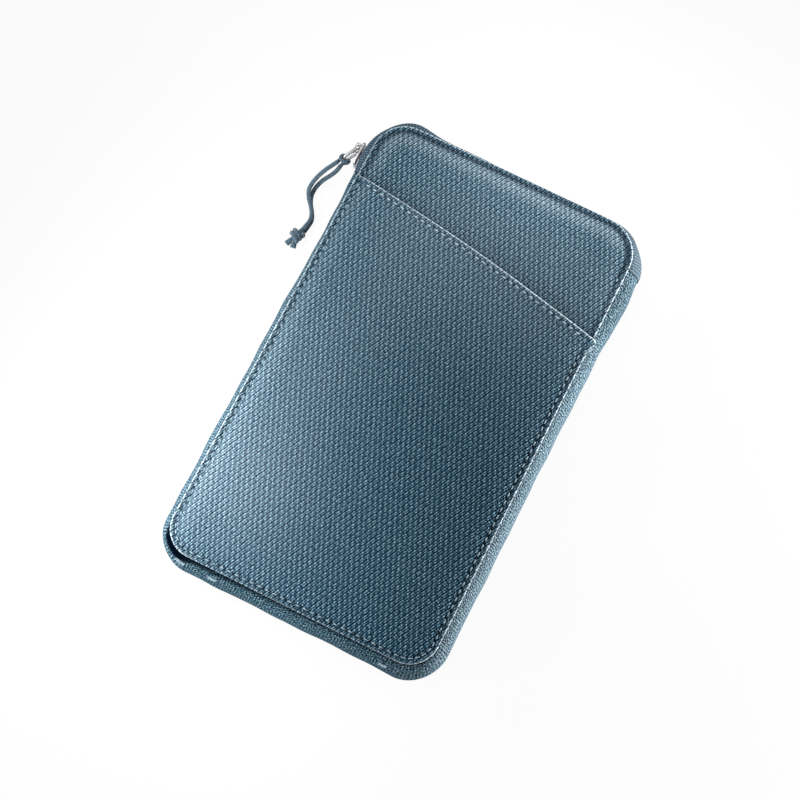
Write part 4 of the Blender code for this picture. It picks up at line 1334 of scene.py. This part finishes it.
def makeKnot():
    centre, axis = knot["centre"], knot["axis"]
    first = axis.orthogonal().normalized()
    second = axis.cross(first)
    places = []
    count = int(knot["turnSteps"] * knot["turns"])
    for step in range(count + 1):
        angle = 2 * math.pi * knot["turns"] * step / count
        rise = knot["pitch"] * knot["turns"] * (0.5 - step / count)
        out = (first * math.cos(angle) + second * math.sin(angle)) * knot["coil"]
        places.append(centre + out + axis * rise)
    wraps = cordTube("cordKnotWraps", routeLine(places, cord["step"]), "cord_knot")
    tails = []
    names = ("cordUpperTail", "cordLowerTail")
    for name, route, turn in zip(names, (upperRoute, lowerRoute), knot["tailHeadings"]):
        end = centre + Vector((*heading(turn), 0)) * knot["tailReach"]
        end.z = knot["tailHeight"]
        line = routeLine([Vector(route[-1]), centre, (centre * 2 + end) / 3, end], cord["step"])
        tails.append(cordTube(name, line, flare=knot["flare"]))
    return wraps, *tails


def makeCord():
    hitch = makeHitch()
    wraps, upperTail, lowerTail = makeKnot()
    strands = (("cordUpperStrand", "cord_upper_strand", upperRoute, (hitch, wraps, upperTail)),
               ("cordLowerStrand", "cord_lower_strand", lowerRoute, (lowerTail,)))
    for name, node, route, pieces in strands:
        line = routeLine(route, cord["strandStep"])
        length = sum((end - start).length for start, end in zip(line, line[1:]))
        piece = cordTube(name, line, node)
        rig.cord(piece, exit=line[0], length=length, diameter=cord["thickness"], far_end="knot",
                stiffness="limp", lay="loose", path=line, with_pieces=pieces)


makeCord()
print("pull cord laid")


# Cloth that crosses the fold bends there
foldAlong = Vector((2 * outline["halfWidth"], fold["right"] - fold["left"], 0)).normalized()
foldUp = Vector((-foldAlong.y, foldAlong.x, 0))
foldMiddle = Vector((0, (fold["left"] + fold["right"]) / 2, fold["height"]))
ease = fold["ease"]
for piece, before, after in ((frontPanelCloth, ease, ease), (frontLiningCloth, ease, ease),
                             (frontFoamPad, ease, ease), (frontTapeCloth, 0.0, fold["tapeEase"])):
    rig.blend(piece, "pouch", "mouth", start=foldMiddle - foldUp * before, end=foldMiddle + foldUp * after)


# Floor, backdrop and lamps; each lamp is its place, aim, size and power
stage = {
    "floor": (0.9, 0.9, 0.9), "roughness": 0.9, "floorWhite": 0.94, "floorSize": 3.0, "floorDrop": 0.2 * mm,
    "ambient": 0.06}
lamps = {"leftStrip": ((-0.11, 0.0, 0.085), (-0.03, 0.0, 0.017), (0.20, 0.02), 0.155),
         "leftLow": ((-0.105, -0.065, 0.08), (-0.03, -0.06, 0.017), (0.08, 0.02), 0.135),
         "lowLeft": ((-0.22, -0.30, 0.07), (0, 0, 0.017), (0.10, 0.10), 0.62),
         "bottomStrip": ((-0.03, -0.15, 0.085), (-0.02, -0.07, 0.017), (0.12, 0.02), 0.09),
         "topStrip": ((0.02, 0.15, 0.085), (0.02, 0.07, 0.017), (0.10, 0.02), 0.16),
         "rightFill": ((0.30, 0.12, 0.032), (0, 0, 0), (0.05, 0.05), 1.25),
         "rightLow": ((0.33, -0.10, 0.02), (0, 0, 0), (0.05, 0.05), 0.44)}


def seenRays(tree):
    # 1 for rays from the camera, from shiny surfaces and through clear ones
    rays = addNode(tree, "ShaderNodeLightPath").outputs
    shiny = addMath(tree, "MAXIMUM", rays["Is Glossy Ray"], rays["Is Transmission Ray"])
    return addMath(tree, "MAXIMUM", rays["Is Camera Ray"], shiny)


def makeStage():
    mesh = bmesh.new()
    bmesh.ops.create_grid(mesh, x_segments=1, y_segments=1, size=stage["floorSize"])
    bmesh.ops.translate(mesh, verts=mesh.verts, vec=(0, 0, -stage["floorDrop"]))
    material, tree, shader = newMaterial("paleFloor", stage["floor"], stage["roughness"])
    white = addNode(tree, "ShaderNodeEmission", {"Color": (1, 1, 1, 1), "Strength": 1.0}).outputs[0]
    share = addMath(tree, "MULTIPLY", seenRays(tree), stage["floorWhite"])
    mixed = addNode(tree, "ShaderNodeMixShader", {0: share, 1: shader.outputs[0], 2: white}).outputs[0]
    tree.links.new(mixed, tree.nodes["Material Output"].inputs["Surface"])
    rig.stage(finishMesh("floor", mesh, material))
    world = bpy.data.worlds.new("studio")
    scene.world = world
    world.use_nodes = True
    tree = world.node_tree
    backdrop = tree.nodes["Background"]
    backdrop.inputs["Color"].default_value = (1, 1, 1, 1)
    strength = addMath(tree, "MULTIPLY_ADD", seenRays(tree), 1 - stage["ambient"], stage["ambient"])
    tree.links.new(strength, backdrop.inputs["Strength"])


def makeLamps():
    for name, (place, aim, size, power) in lamps.items():
        data = bpy.data.lights.new(name, "AREA")
        data.shape = "RECTANGLE"
        data.size, data.size_y = size
        data.energy = power
        lamp = bpy.data.objects.new(name, data)
        lamp.location = place
        lamp.rotation_euler = (Vector(place) - Vector(aim)).to_track_quat("Z", "Y").to_euler()
        scene.collection.objects.link(lamp)


makeStage()
makeLamps()
scene.view_settings.view_transform = "Standard"
print("stage lit")

with open("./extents.json", "w") as sizeFile:
    json.dump({"cad": [list(corner) for corner in cadBox],
               "visual": [list(corner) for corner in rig.bounds()]}, sizeFile)
